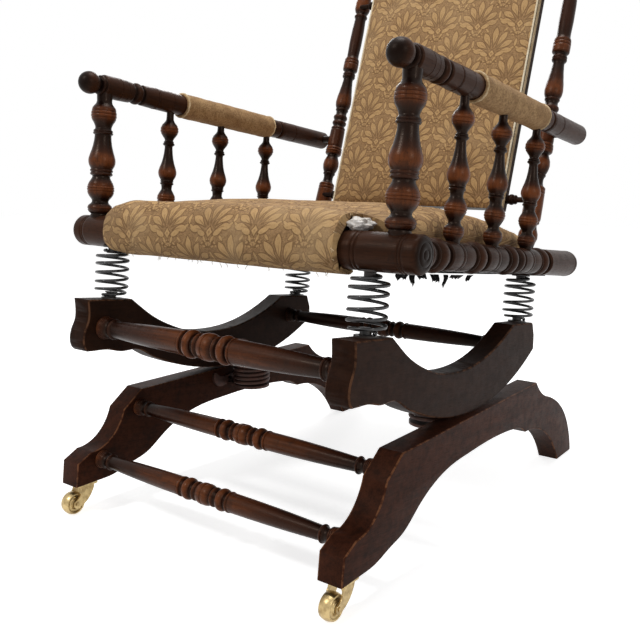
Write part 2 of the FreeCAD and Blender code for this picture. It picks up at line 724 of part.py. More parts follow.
# padded sleeves round the arms
sleeve = size("sleeveLong")
for side, sign in (("left", 1), ("right", -1)):
    body = newBody()
    sketch = sketchOn(body, "XZ_Plane")
    outline(sketch, (17.3, 0), [
        (19.2, 0), ((20.6, 5), (21.0, 14)), ((21.4, sleeve / 2), (21.0, sleeve - 14)),
        ((20.6, sleeve - 5), (19.2, sleeve)), (17.3, sleeve)])
    spin = doc.addObject("PartDesign::Revolution", "Revolution")
    body.addObject(spin)
    spin.Profile = sketch
    spin.ReferenceAxis = (sketch, ["V_Axis"])
    spin.Angle = 360.0
    # the underside is opened for the tops of two spindles
    tops = sketchOn(body, "XZ_Plane")
    for y in (spindleRows[1][1], spindleRows[2][1]):
        tops.addGeometry(Part.Circle(V(0, y - sleeveFront, 0), V(0, 0, 1), 6.4), False)
    pocketOf(body, tops, 30.0)
    keep(body, "arm_pad_" + side, level(sign * sideX, sleeveFront, armZ, alongY))

# the back
backTurns = [
    (14, 11, 0), (0, 14, 0), (10, 13.0, -1.0), (14, 13.0, 4.2), (5, 12.0, -0.8),
    (24, 16.0, 2.4), (1.2, 16.0, -0.7), (20, 12.6, 2.0), (4, 12.6, -0.8), (3, 15.0, 0.5),
    (3, 13.5, 0.8), (16, 14.6, 0), (1.2, 14.6, -0.7), (6, 14.6, 0.5), (1.2, 14.6, -0.7),
    (26, 14.2, 0), (3, 15.5, 0.4), (3, 13.0, 0.8), (14, 17.0, 1.6), (16, 15.6, 0.8),
    (34, 11.8, -1.8), (3, 14.2, 0.4), (3, 12.6, 0.8), (5, 12.0, -0.8), (16, 12.6, 4.6),
    (4, 12.6, -0.8), (3, 15.5, 0.5), (24, 15.8, 0), (1.2, 15.8, -0.7), (4, 15.8, 0.4),
    (1.2, 15.8, -0.7), (22, 15.4, 0), (3, 12.6, 0.8), (5, 12.2, -0.8)]
middleTurns = [
    (9, 16.8, 1.0), (1.0, 16.8, -0.6), (9, 12.4, 1.0), (4, 12.0, -0.8), (2.5, 14.6, 0.4),
    (2.5, 13.0, 0.8), (30, 15.4, 1.0), (24, 16.4, 0.6), (14, 12.6, 1.6), (2.5, 14.4, 0.4),
    (2.5, 12.6, 0.8), (4, 12.0, -0.8)]
topTurns = [
    (3, 15.0, 0.5), (26, 14.4, 0), (1.2, 14.4, -0.7), (4, 14.4, 0.4), (1.2, 14.4, -0.7),
    (24, 14.2, 0), (3, 12.0, 0.8), (5, 10.5, -0.8), (4, 14.0, 0.6), (4, 10.0, 1.0),
    (5, 9.0, -0.8), (11, 15.5, 2.6), (9, 13.5, 1.6), (12, 5.0, 2.4), (5, 0.01, 1.2)]
backSteps = list(backTurns)
backFoot = -92.0
stileLow = size("stileLow")
stileN = size("stileNear")
stileTop = stileLow + size("stileTall")
crestH = stileTop + size("crestAbove")
backTop = crestH + size("finialAbove")
while length(backSteps) + length(middleTurns) + length(topTurns) < backTop - backFoot:
    backSteps += middleTurns
spare = backTop - backFoot - length(backSteps) - length(topTurns)
backSteps += [(spare, 13.5, 0.6)]
backSteps += topTurns
for side, sign in (("left", 1), ("right", -1)):
    turned("back_post_" + side, 11, backSteps, onBack(sign * size("backX"), 0, backFoot))

crestHalf = size("backX") - 8
crestTip = [(6, 8, 0), (4, 11.0, 0.8), (3, 9.0, 0.6), (40, 12.0, 0.8), (3, 14.0, 0.5),
            (3, 11.0, 0.7), (14, 11.0, 4.6), (3, 13.5, 0.5), (3, 11.5, 0.7)]
crestHalfSteps = crestTip + [(crestHalf - length(crestTip), 15.0, 1.6)]
crestStart, crestBack = flipped(8, crestHalfSteps)
turned("crest_rail", 8, crestHalfSteps + crestBack, onBack(-crestHalf, 0, crestH, alongX))


def bar(label, x, n, h, wide, deep, high):
    box = doc.addObject("Part::Box", "Bar")
    for key, value in (("Length", wide), ("Width", deep), ("Height", high)):
        if isinstance(value, str):
            box.setExpression(key, "Sizes." + value)
        else:
            setattr(box, key, value)
    return keep(box, label, onBack(x, n, h))


bar("back_stile_left", size("stileHalf") - size("stileWide"), stileN, stileLow,
    "stileWide", "stileDeep", "stileTall")
bar("back_stile_right", -size("stileHalf"), stileN, stileLow,
    "stileWide", "stileDeep", "stileTall")
span = 2 * (size("stileHalf") - size("stileWide"))
barDeep = size("stileDeep") - 4.0
bar("back_frame_bottom", -span / 2, stileN, stileLow, span, barDeep, "frameBar")
bar("back_frame_top", -span / 2, stileN, stileTop - size("frameBar"), span, barDeep, "frameBar")


def stubs(label):
    """Short turned stubs that join the back frame to the posts, all alike."""
    steps = [(3, 5, 0), (0, 7.5, 0), (4, 7.0, 1.0), (10, 7.0, 2.6), (4, 7.5, 1.0), (2, 5, 0),
             (size("backX") - 4 - (size("stileHalf") - 3) - 23, 5, 0)]
    z = 0.0
    r = 5.0
    edges = [Part.LineSegment(V(0, 0, 0), V(r, 0, 0)).toShape()]
    for dz, r2, swell in steps:
        end = V(r2, 0, z + dz)
        if swell:
            run = math.hypot(dz, r2 - r)
            m = V((r + r2) / 2 + swell * dz / run, 0, z + dz / 2 - swell * (r2 - r) / run)
            edges.append(Part.Arc(V(r, 0, z), m, end).toShape())
        else:
            edges.append(Part.LineSegment(V(r, 0, z), end).toShape())
        z += dz
        r = r2
    edges.append(Part.LineSegment(V(r, 0, z), V(0, 0, z)).toShape())
    edges.append(Part.LineSegment(V(0, 0, z), V(0, 0, 0)).toShape())
    shape = Part.Face(Part.Wire(edges)).revolve(V(0, 0, 0), V(0, 0, 1), 360)
    made = []
    for sign in (1, -1):
        for h in stubHeights:
            one = doc.addObject("Part::Feature", "Stub")
            one.Shape = shape
            one.Placement = onBack(sign * (size("stileHalf") - 3), -11.0, h,
                                   Rot(V(0, 1, 0), 90 * sign))
            made.append(one)
    group = doc.addObject("Part::Compound", "Stubs")
    group.Links = made
    return keep(group, label)


def radiusAt(steps, start, at):
    z = 0.0
    r = start
    for dz, r2, swell in steps:
        if dz and z + dz >= at:
            return r + (r2 - r) * (at - z) / dz
        z += dz
        r = r2


stubHeights = (stileLow + 21.0, stileTop - 74.0)
print("post radius at the stubs", [round(radiusAt(backSteps, 11, h - backFoot), 1)
                                   for h in stubHeights])
stubs("back_stubs")

# dowels that hold the arms to the posts
tall = (armZ - size("backZ")) / math.cos(math.radians(size("backLean")))
across = size("backY") + tall * math.sin(math.radians(size("backLean")))
dowels = []
for sign in (1, -1):
    dowel = doc.addObject("Part::Cylinder", "Dowel")
    dowel.Radius = 7.0
    dowel.Height = (sideX - 10) - (size("backX") - 7)
    dowel.Placement = level(sign * (size("backX") - 7), across, armZ, Rot(V(0, 1, 0), 90 * sign))
    dowels.append(dowel)
group = doc.addObject("Part::Compound", "Dowels")
group.Links = dowels
keep(group, "arm_dowels")


def loftPiece(sections):
    """Soft shape lofted through outlines at distances along X."""
    body = newBody()
    sketches = []
    for x, start, steps in sections:
        sketch = sketchOn(body, "YZ_Plane", x)
        outline(sketch, start, steps)
        sketches.append(sketch)
    loft = doc.addObject("PartDesign::AdditiveLoft", "Loft")
    body.addObject(loft)
    loft.Profile = sketches[0]
    loft.Sections = sketches[1:]
    return body


# back pad: fabric over stuffing, swelling to the front, held between the stiles
low = stileLow + 6
high = stileTop - 6
padHalf = size("stileHalf") - size("stileWide") - 0.6
backSections = []
for x, swell in ((-padHalf, 1.5), (-0.62 * padHalf, 8.0), (0, 10.5), (0.62 * padHalf, 8.0),
                 (padHalf, 1.5)):
    face = stileN - 0.3
    front = face - 6.0
    backSections.append((x, (face, low), [
        (face, high), (front + 1.0, high),
        ((front - swell, (low + high) / 2), (front + 1.0, low))]))
keep(loftPiece(backSections), "back_pad", onBack(0, 0, 0))
bar("back_cloth", -span / 2 - 4, stileN + size("stileDeep") + 0.2, stileLow + 4, span + 8, 1.6,
    size("stileTall") - 8)

# seat pad: a roll round the front rail and a crowned top behind it
rollLeft = sideX - size("rollTorn")
rollRight = size("rollFull") - sideX
padSide = sideX - size("padEdge")
ry = size("railY")
rearY = size("rearRailY")
sections = []
for share, side in ((-1, 0.0), (-0.94, 0.42), (-0.6, 0.86), (0, 1.0), (0.6, 0.86), (0.94, 0.42),
                    (1, 0.0)):
    front = railZ + 27 + 13 * side
    back = railZ + 29 + 14 * side
    top = railZ + 33 + (size("padRise") - 33) * side
    sections.append((share * padSide, (ry + 25.5, railZ - 11), [
        (rearY - 40, railZ - 11), (rearY - 40, railZ + 25), (rearY - 5, railZ + 25),
        (rearY - 5, back), ((-70, top), (ry + 25.5, front))]))
main = loftPiece(sections)
rollSections = []
for x, grow in ((rollRight, 0.0), (rollRight + 16, 0.75), (-120, 1.0), (0, 1.0), (110, 0.9),
                (rollLeft - 12, 0.5), (rollLeft, 0.0)):
    out = 30.0 + 9.0 * grow
    down = 27.5 + 5.0 * grow
    up = 30.0 + 13.0 * grow
    rollSections.append((x, (ry + 26.5, railZ - 12), [
        (ry + 26.5, railZ + up - 6), ((ry + 12, railZ + up - 0.5), (ry - 2, railZ + up)),
        ((ry - 0.72 * out, railZ + 0.72 * up), (ry - out, railZ + 2)),
        ((ry - 0.74 * out, railZ - 0.72 * down), (ry, railZ - down)),
        ((ry + 14, railZ - down + 2.0), (ry + 26.5, railZ - 12))]))
roll = loftPiece(rollSections)
both = doc.addObject("Part::Fuse", "Cushion")
both.Base = main
both.Tool = roll
core = doc.addObject("Part::Cylinder", "Core")
core.Radius = rr + beadSwell + 0.3
core.Height = 2 * half
core.Placement = Pl(V(-half, ry, railZ), alongX)
hollow = doc.addObject("Part::Cut", "Hollow")
hollow.Base = both
notch = doc.addObject("Part::Cylinder", "Notch")
notch.Radius = 20.0
notch.Height = 26.0
notch.Placement = Pl(V(-springX, size("springFrontY"), railZ - 46), Rot())
tools = doc.addObject("Part::Fuse", "Tools")
tools.Base = core
tools.Tool = notch
hollow.Tool = tools
keep(hollow, "seat_pad", leanBack)

# torn corner of the seat, where the wadding shows
wad = newBody()
wadSketch = sketchOn(wad, "YZ_Plane")
outline(wadSketch, (ry + 2, railZ + rr + 0.6), [
    ((ry + 13, railZ + rr + 9), (ry + 25, railZ + rr + 2)), (ry + 25, railZ + rr - 8),
    ((ry + 14, railZ + rr - 3.3), (ry + 2, railZ + rr + 0.6))])
padOf(wad, wadSketch, 34.0)
keep(wad, "seat_wadding", level(rollLeft + 0.5, 0, 0))

# black cloth stretched below the seat
cloth = doc.addObject("Part::Box", "Cloth")
clothHalf = springX - 20
clothFront = ry + 27
cloth.Length = 2 * clothHalf
cloth.Width = rearY + 29 - clothFront
cloth.Height = 1.2
keep(cloth, "bottom_cloth", level(-clothHalf, clothFront, railZ - rr - 1.4))

# centre the whole chair
doc.recompute()
shift = Pl(V(0, size("centreY"), 0), Rot())
for piece in pieces:
    piece.Placement = shift.multiply(piece.Placement)

doc.recompute()
bad = 0
for piece in pieces:
    shape = piece.Shape
    states = [s for s in piece.State if s in ("Invalid", "Error")]
    ok = shape.isValid() and not states and shape.Volume > 0
    if not ok:
        bad += 1
    print("%-26s valid %s solids %d volume %.0f %s" % (
        piece.Label, shape.isValid(), len(shape.Solids), shape.Volume, states))
for thing in doc.Objects:
    if "Invalid" in thing.State or "Error" in thing.State:
        bad += 1
        print("problem in", thing.Name, thing.Label, thing.State)
if bad:
    raise SystemExit("there are %d faulty pieces" % bad)
for name in os.listdir("parts"):
    os.remove(os.path.join("parts", name))
for piece in pieces:
    piece.Shape.exportStep("parts/%s.step" % piece.Label)
box = FreeCAD.BoundBox()
for piece in pieces:
    box.add(piece.Shape.BoundBox)
print(len(pieces), "pieces", "x", round(box.XMin, 2), round(box.XMax, 2), "y", round(box.YMin, 2),
      round(box.YMax, 2), "z", round(box.ZMin, 2), round(box.ZMax, 2))
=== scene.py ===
import math
import random

import bmesh
import bpy
import numpy as np
from mathutils import Matrix, Vector, noise


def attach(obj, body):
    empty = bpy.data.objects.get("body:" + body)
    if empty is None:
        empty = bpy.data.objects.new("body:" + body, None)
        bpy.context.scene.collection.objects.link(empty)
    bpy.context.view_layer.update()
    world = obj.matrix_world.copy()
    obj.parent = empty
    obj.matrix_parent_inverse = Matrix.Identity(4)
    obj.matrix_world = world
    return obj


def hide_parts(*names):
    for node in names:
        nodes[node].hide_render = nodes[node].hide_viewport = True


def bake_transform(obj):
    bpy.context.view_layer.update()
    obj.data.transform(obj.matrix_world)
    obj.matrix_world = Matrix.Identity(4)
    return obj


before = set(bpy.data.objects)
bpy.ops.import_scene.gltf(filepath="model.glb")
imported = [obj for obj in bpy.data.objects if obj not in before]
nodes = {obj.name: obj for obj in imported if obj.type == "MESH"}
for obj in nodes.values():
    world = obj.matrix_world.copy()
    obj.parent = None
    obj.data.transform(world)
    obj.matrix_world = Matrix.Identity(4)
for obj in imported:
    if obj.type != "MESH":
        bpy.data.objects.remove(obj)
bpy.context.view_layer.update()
mm = 0.001
print("frame loaded:", len(nodes), "nodes")

# The chair leans back about the line where the rockers touch the base, and the back leans further.
lean = {
    "pivotY": -42.7 * mm,
    "pivotZ": 182.0 * mm,
    "touchY": -34.0 * mm,
    "chair": math.radians(5.6),
    "back": math.radians(12.5),
    "backY": 206.0 * mm,
    "backZ": 510.0 * mm,
}
chairTurn = Matrix.Rotation(-lean["chair"], 3, "X")
backTurn = Matrix.Rotation(-lean["chair"] - lean["back"], 3, "X")


def level(x, y, z):
    # a point of the level drawing, in metres, put where the leaning chair has it
    move = chairTurn @ Vector((0, y - lean["touchY"], z - lean["pivotZ"]))
    return Vector((x, lean["pivotY"] + move.y, lean["pivotZ"] + move.z))


def onBack(x, n, h):
    return level(0, lean["backY"], lean["backZ"]) + backTurn @ Vector((x, n, h))


sideways = Vector((1, 0, 0))
foreAft = chairTurn @ Vector((0, 1, 0))
upright = chairTurn @ Vector((0, 0, 1))
upBack = backTurn @ Vector((0, 0, 1))


# Small helpers for shader nodes
def newMaterial(name):
    material = bpy.data.materials.new(name)
    material.use_nodes = True
    tree = material.node_tree
    shader = tree.nodes["Principled BSDF"]
    return material, tree, shader


def feed(tree, socket, value):
    if isinstance(value, bpy.types.NodeSocket):
        tree.links.new(value, socket)
    else:
        socket.default_value = value


def calc(tree, how, a, b=0.0, c=None):
    node = tree.nodes.new("ShaderNodeMath")
    node.operation = how
    feed(tree, node.inputs[0], a)
    feed(tree, node.inputs[1], b)
    if c is not None:
        feed(tree, node.inputs[2], c)
    return node.outputs[0]


def plus(tree, a, b):
    return calc(tree, "ADD", a, b)


def minus(tree, a, b):
    return calc(tree, "SUBTRACT", a, b)


def times(tree, a, b):
    return calc(tree, "MULTIPLY", a, b)


def larger(tree, a, b):
    return calc(tree, "MAXIMUM", a, b)


def fade(tree, value, low, high):
    # 0 below low, 1 above high, smooth between
    node = tree.nodes.new("ShaderNodeMapRange")
    node.interpolation_type = "SMOOTHSTEP"
    feed(tree, node.inputs["Value"], value)
    node.inputs["From Min"].default_value = low
    node.inputs["From Max"].default_value = high
    return node.outputs[0]


def fadeOut(tree, value, low, high):
    return minus(tree, 1.0, fade(tree, value, low, high))


def vectorMath(tree, how, a, b):
    node = tree.nodes.new("ShaderNodeVectorMath")
    node.operation = how
    feed(tree, node.inputs[0], a)
    feed(tree, node.inputs[1], b)
    return node


def mixColour(tree, share, a, b, how="MIX"):
    node = tree.nodes.new("ShaderNodeMix")
    node.data_type = "RGBA"
    node.blend_type = how
    feed(tree, node.inputs[0], share)
    feed(tree, node.inputs[6], (*a, 1) if isinstance(a, tuple) else a)
    feed(tree, node.inputs[7], (*b, 1) if isinstance(b, tuple) else b)
    return node.outputs[2]


def noiseAt(tree, vector, scale, detail=3.0, rough=0.55, twist=0.0):
    node = tree.nodes.new("ShaderNodeTexNoise")
    feed(tree, node.inputs["Vector"], vector)
    node.inputs["Scale"].default_value = scale
    node.inputs["Detail"].default_value = detail
    node.inputs["Roughness"].default_value = rough
    node.inputs["Distortion"].default_value = twist
    return node.outputs[0]


def stretch(tree, vector, scale):
    node = tree.nodes.new("ShaderNodeMapping")
    feed(tree, node.inputs["Vector"], vector)
    node.inputs["Scale"].default_value = scale
    return node.outputs[0]


def bumpOf(tree, height, strength, distance, under=None):
    node = tree.nodes.new("ShaderNodeBump")
    node.inputs["Strength"].default_value = strength
    node.inputs["Distance"].default_value = distance
    feed(tree, node.inputs["Height"], height)
    if under is not None:
        feed(tree, node.inputs["Normal"], under)
    return node.outputs[0]


def place(tree):
    return tree.nodes.new("ShaderNodeTexCoord").outputs["Object"]


# Wood. A turned piece is darker in its hollows and lighter, redder and worn on its swellings; that lighter
# colour is rubbed wear and a painted highlight together.
tones = {
    "dark": {"deep": (0.0050, 0.0020, 0.0014), "body": (0.0185, 0.0068, 0.0040),
             "worn": (0.075, 0.0230, 0.0090), "shine": 0.24, "gloss": 0.08},
    "warm": {"deep": (0.0070, 0.0028, 0.0019), "body": (0.0310, 0.0095, 0.0048),
             "worn": (0.175, 0.0500, 0.0155), "shine": 0.18, "gloss": 0.13},
    "rail": {"deep": (0.0055, 0.0024, 0.0017), "body": (0.0120, 0.0050, 0.0031),
             "worn": (0.048, 0.0175, 0.0085), "shine": 0.24, "gloss": 0.07},
    "base": {"deep": (0.0120, 0.0042, 0.0026), "body": (0.0470, 0.0142, 0.0070),
             "worn": (0.170, 0.0680, 0.0320), "shine": 0.36, "gloss": 0.05},
    "rocker": {"deep": (0.0100, 0.0042, 0.0027), "body": (0.0230, 0.0092, 0.0052),
               "worn": (0.100, 0.0460, 0.0250), "shine": 0.36, "gloss": 0.04},
}


timber = {
    "figure": (26, 26, 5),         # noise steps per metre, twice across the grain and once along it
    "streaks": (330, 330, 14),
    "pores": (1500, 1500, 60),
    "stains": 55.0,
    "patches": 95.0,               # rubbed places of a sawn face
    "toolMarks": 620.0,
    "apart": (0.37, 0.11, 0.73),   # how far the grain of one piece lies from the next one's
    "grime": (0.011, 0.0065, 0.0055),
    "shineTint": (1.0, 0.76, 0.60, 1),
}


def finishWood(tree, shader, tone, grainSpot, wear, spot, rings=None):
    # grainSpot runs along the grain in its z, wear is 0 in hollows and 1 on rubbed places; on turned pieces
    # it follows the radius, so the light swellings carry rubbed wear and a painted highlight
    figure = noiseAt(tree, stretch(tree, grainSpot, timber["figure"]), 1.0, 4, 0.6, 0.5)
    streaks = noiseAt(tree, stretch(tree, grainSpot, timber["streaks"]), 1.0, 5, 0.7, 0.25)
    pores = noiseAt(tree, stretch(tree, grainSpot, timber["pores"]), 1.0, 2, 0.5)
    stain = noiseAt(tree, spot, timber["stains"], 4, 0.6)
    rubbed = plus(tree, times(tree, wear, 0.95), times(tree, minus(tree, figure, 0.5), 0.9))
    rubbed = plus(tree, rubbed, times(tree, minus(tree, streaks, 0.5), 0.55))
    body = mixColour(tree, fade(tree, rubbed, -0.05, 0.55), tone["deep"], tone["body"])
    # on turned pieces this worn colour on the swellings is a painted highlight as well as wear
    body = mixColour(tree, fade(tree, rubbed, 0.45, 1.25), body, tone["worn"])
    body = mixColour(tree, times(tree, fade(tree, pores, 0.56, 0.68), 0.45), body, tone["deep"])
    body = mixColour(tree, times(tree, fade(tree, stain, 0.52, 0.70), 0.5), body, timber["grime"])
    feed(tree, shader.inputs["Base Color"], body)
    rough = plus(tree, tone["shine"], times(tree, stain, 0.22))
    rough = plus(tree, rough, times(tree, fade(tree, pores, 0.5, 0.7), 0.10))
    feed(tree, shader.inputs["Roughness"], rough)
    shader.inputs["Specular IOR Level"].default_value = tone["gloss"]
    shader.inputs["Specular Tint"].default_value = timber["shineTint"]
    low = bumpOf(tree, streaks, 0.16, 0.0006)
    if rings is not None:
        low = bumpOf(tree, rings, 0.30, 0.0005, low)
    low = bumpOf(tree, stain, 0.12, 0.0012, low)
    feed(tree, shader.inputs["Normal"], bumpOf(tree, pores, 0.22, 0.0003, low))


def alongGrain(tree, spot, grain, seed):
    # the place with the grain as its z, moved by a step of its own for each piece
    turn = tree.nodes.new("ShaderNodeVectorRotate")
    turn.rotation_type = "EULER_XYZ"
    feed(tree, turn.inputs["Vector"], spot)
    turn.inputs["Rotation"].default_value = grain.rotation_difference(Vector((0, 0, 1))).to_euler()
    step = [seed * share for share in timber["apart"]]
    return vectorMath(tree, "ADD", turn.outputs[0], step).outputs[0]


def turnedWood(name, centre, along, thin, thick, tone, seed):
    # rubbed where the piece is thick, where the lighter colour is wear and a painted highlight together; dark
    # where it is thin
    material, tree, shader = newMaterial(name)
    spot = place(tree)
    fromAxis = vectorMath(tree, "SUBTRACT", spot, centre).outputs[0]
    cross = vectorMath(tree, "CROSS_PRODUCT", fromAxis, along).outputs[0]
    radius = vectorMath(tree, "LENGTH", cross, (0, 0, 0)).outputs["Value"]
    alongAxis = vectorMath(tree, "DOT_PRODUCT", fromAxis, along).outputs["Value"]
    ringSpot = tree.nodes.new("ShaderNodeCombineXYZ")
    feed(tree, ringSpot.inputs[0], times(tree, radius, timber["toolMarks"]))
    feed(tree, ringSpot.inputs[1], times(tree, alongAxis, timber["toolMarks"]))
    rings = noiseAt(tree, ringSpot.outputs[0], 1.0, 3, 0.6)
    finishWood(tree, shader, tones[tone], alongGrain(tree, fromAxis, along, seed),
               fade(tree, radius, thin, thick), spot, rings)
    return material


def sawnWood(name, tone, grain, rubbed, seed):
    material, tree, shader = newMaterial(name)
    spot = place(tree)
    patches = noiseAt(tree, spot, timber["patches"], 5, 0.65)
    wear = plus(tree, rubbed["least"], times(tree, fade(tree, patches, 0.35, 0.65), rubbed["more"]))
    finishWood(tree, shader, tones[tone], alongGrain(tree, spot, grain, seed), wear, spot)
    return material


def plainMetal(name, colour, second, rough, metal, spread=60.0, coat=0.0, bump=0.15):
    material, tree, shader = newMaterial(name)
    spot = place(tree)
    cloud = noiseAt(tree, spot, spread, 5, 0.65)
    speck = noiseAt(tree, spot, spread * 14, 3, 0.6)
    body = mixColour(tree, fade(tree, cloud, 0.38, 0.66), colour, second)
    feed(tree, shader.inputs["Base Color"], body)
    feed(tree, shader.inputs["Roughness"], plus(tree, rough, times(tree, cloud, 0.25)))
    shader.inputs["Metallic"].default_value = metal
    shader.inputs["Coat Weight"].default_value = coat
    low = bumpOf(tree, cloud, bump, 0.0006)
    feed(tree, shader.inputs["Normal"], bumpOf(tree, speck, bump, 0.0002, low))
    return material


# The woven palmette: a fan of petals on a small diamond with two curled leaves and berries.
weave = {
    "across": 81.0,       # from fan to fan, in mm
    "up": 110.0,          # from row to row; a second set of rows lies half a step across and up
    "bigger": 1.27,       # size of a fan against the figures below
    "petals": 3,          # each side of the middle one
    "spread": 0.455,      # angle from petal to petal
    "petalFrom": 7.0,     # where a petal starts and where the middle one ends, from the fan's base
    "longest": 40.0,
    "shorter": 3.4,       # what each petal loses to its neighbour nearer the middle
    "widest": 4.5,
    "diamond": (4.8, 6.2),
    # leaves: middle across and up, half sizes, turn
    "leaves": ((12.0, -0.5, 6.8, 3.4, 0.42), (5.6, -8.0, 1.6, 4.6, -0.5), (17.5, -7.5, 1.5, 4.2, 0.75)),
    "betweenFans": ((0.0, 15.5, 2.0, 6.2, 0.0), (4.4, 7.0, 1.6, 4.6, 0.9)),
    "berries": (0.0, -13.0, 15.0, 6.0, 0.0),
    "berriesPerMm": 0.30,
    "ground": (0.380, 0.230, 0.110),
    "groundDark": (0.262, 0.150, 0.070),
    "fan": (0.620, 0.392, 0.178),
    "fanDark": (0.480, 0.290, 0.124),
    "line": (0.160, 0.082, 0.035),
    "dirt": (0.190, 0.120, 0.062),
    "faded": (0.500, 0.350, 0.190),
    "yarn": (0.36, 0.34, 0.32),
}


def ellipseMask(tree, x, y, middleX, middleY, halfX, halfY, turn):
    # 1 on the ellipse's line, less inside
    c, s = math.cos(turn), math.sin(turn)
    dx, dy = minus(tree, x, middleX), minus(tree, y, middleY)
    a = calc(tree, "MULTIPLY_ADD", dx, c / halfX, times(tree, dy, s / halfX))
    b = calc(tree, "MULTIPLY_ADD", dx, -s / halfY, times(tree, dy, c / halfY))
    return calc(tree, "SQRT", plus(tree, times(tree, a, a), times(tree, b, b)))


def oneFan(tree, across, up, shiftAcross, shiftUp):
    # light and dark threads of one set of fans on the cloth
    w = weave
    row = calc(tree, "DIVIDE", minus(tree, up, shiftUp), w["up"])
    y = times(tree, minus(tree, calc(tree, "FRACT", plus(tree, row, 100.3)), 0.3), w["up"] / w["bigger"])
    column = calc(tree, "DIVIDE", minus(tree, across, shiftAcross), w["across"])
    x = times(tree, minus(tree, calc(tree, "FRACT", plus(tree, column, 100.5)), 0.5),
              w["across"] / w["bigger"])
    # petals in polar form about the fan's base, curling outwards
    angle = calc(tree, "ARCTAN2", x, y)
    radius = calc(tree, "SQRT", plus(tree, times(tree, x, x), times(tree, y, y)))
    curled = times(tree, angle, calc(tree, "MULTIPLY_ADD", radius, -0.0045, 1.10))
    which = calc(tree, "ROUND", calc(tree, "DIVIDE", curled, w["spread"]))
    which = larger(tree, calc(tree, "MINIMUM", which, w["petals"]), -w["petals"])
    off = calc(tree, "ABSOLUTE", minus(tree, curled, times(tree, which, w["spread"])))
    tip = minus(tree, w["longest"], times(tree, calc(tree, "ABSOLUTE", which), w["shorter"]))
    t = calc(tree, "DIVIDE", minus(tree, radius, w["petalFrom"]), minus(tree, tip, w["petalFrom"]))
    inside = larger(tree, calc(tree, "MINIMUM", t, 1.0), 0.0)
    wide = calc(tree, "SINE", times(tree, calc(tree, "POWER", inside, 1.8), math.pi))
    aside = times(tree, off, radius)
    within = minus(tree, times(tree, wide, w["widest"]), aside)
    petal = fade(tree, within, 0.0, 0.7)
    rim = times(tree, fade(tree, within, -1.3, -0.5), fade(tree, t, -0.02, 0.12))
    rim = times(tree, rim, fadeOut(tree, t, 0.96, 1.06))
    vein = times(tree, fadeOut(tree, aside, 0.2, 0.8), fade(tree, t, 0.05, 0.2))
    vein = times(tree, vein, fadeOut(tree, t, 0.50, 0.68))
    # diamond, side leaves, stems and berries
    mirror = calc(tree, "ABSOLUTE", x)
    diamond = plus(tree, times(tree, mirror, 1 / w["diamond"][0]),
                   times(tree, calc(tree, "ABSOLUTE", y), 1 / w["diamond"][1]))
    edge = calc(tree, "ABSOLUTE", minus(tree, mirror, w["across"] / w["bigger"] / 2))
    shapes = [diamond, *(ellipseMask(tree, mirror, y, *leaf) for leaf in w["leaves"]),
              *(ellipseMask(tree, edge, y, *leaf) for leaf in w["betweenFans"])]
    light, dark = petal, larger(tree, rim, vein)
    for shape in shapes:
        light = larger(tree, light, fadeOut(tree, shape, 0.82, 1.0))
        ring = times(tree, fade(tree, shape, 0.92, 1.04), fadeOut(tree, shape, 1.10, 1.32))
        dark = larger(tree, dark, ring)
    berry = tree.nodes.new("ShaderNodeTexVoronoi")
    berry.voronoi_dimensions = "2D"
    berry.inputs["Scale"].default_value = w["berriesPerMm"]
    berry.inputs["Randomness"].default_value = 0.75
    spot = tree.nodes.new("ShaderNodeCombineXYZ")
    feed(tree, spot.inputs[0], mirror)
    feed(tree, spot.inputs[1], y)
    feed(tree, berry.inputs["Vector"], spot.outputs[0])
    cluster = fadeOut(tree, ellipseMask(tree, mirror, y, *w["berries"]), 0.8, 1.0)
    grape = times(tree, fadeOut(tree, berry.outputs["Distance"], 0.28, 0.38), cluster)
    rimOfGrape = times(tree, fade(tree, berry.outputs["Distance"], 0.34, 0.44), cluster)
    light = larger(tree, light, times(tree, grape, 0.8))
    dark = larger(tree, dark, times(tree, rimOfGrape, 0.8))
    eye = fadeOut(tree, diamond, 0.20, 0.44)
    light = times(tree, light, minus(tree, 1.0, times(tree, eye, 0.9)))
    return times(tree, light, minus(tree, 1.0, times(tree, vein, 0.6))), dark


def scrolls(tree, spot, scale, thin):
    # thin wandering lines, as in the ground of the cloth
    field = noiseAt(tree, spot, scale, 2, 0.5, 0.6)
    return fadeOut(tree, calc(tree, "ABSOLUTE", minus(tree, field, 0.5)), thin * 0.4, thin)


def yarns(tree, spot, across, along):
    sets = []
    for way, scale in (("X", across), ("Y", along)):
        wave = tree.nodes.new("ShaderNodeTexWave")
        wave.inputs["Scale"].default_value = scale
        wave.inputs["Distortion"].default_value = 0.6
        wave.bands_direction = way
        feed(tree, wave.inputs["Vector"], spot)
        sets.append(wave.outputs[1])
    return times(tree, sets[0], sets[1])


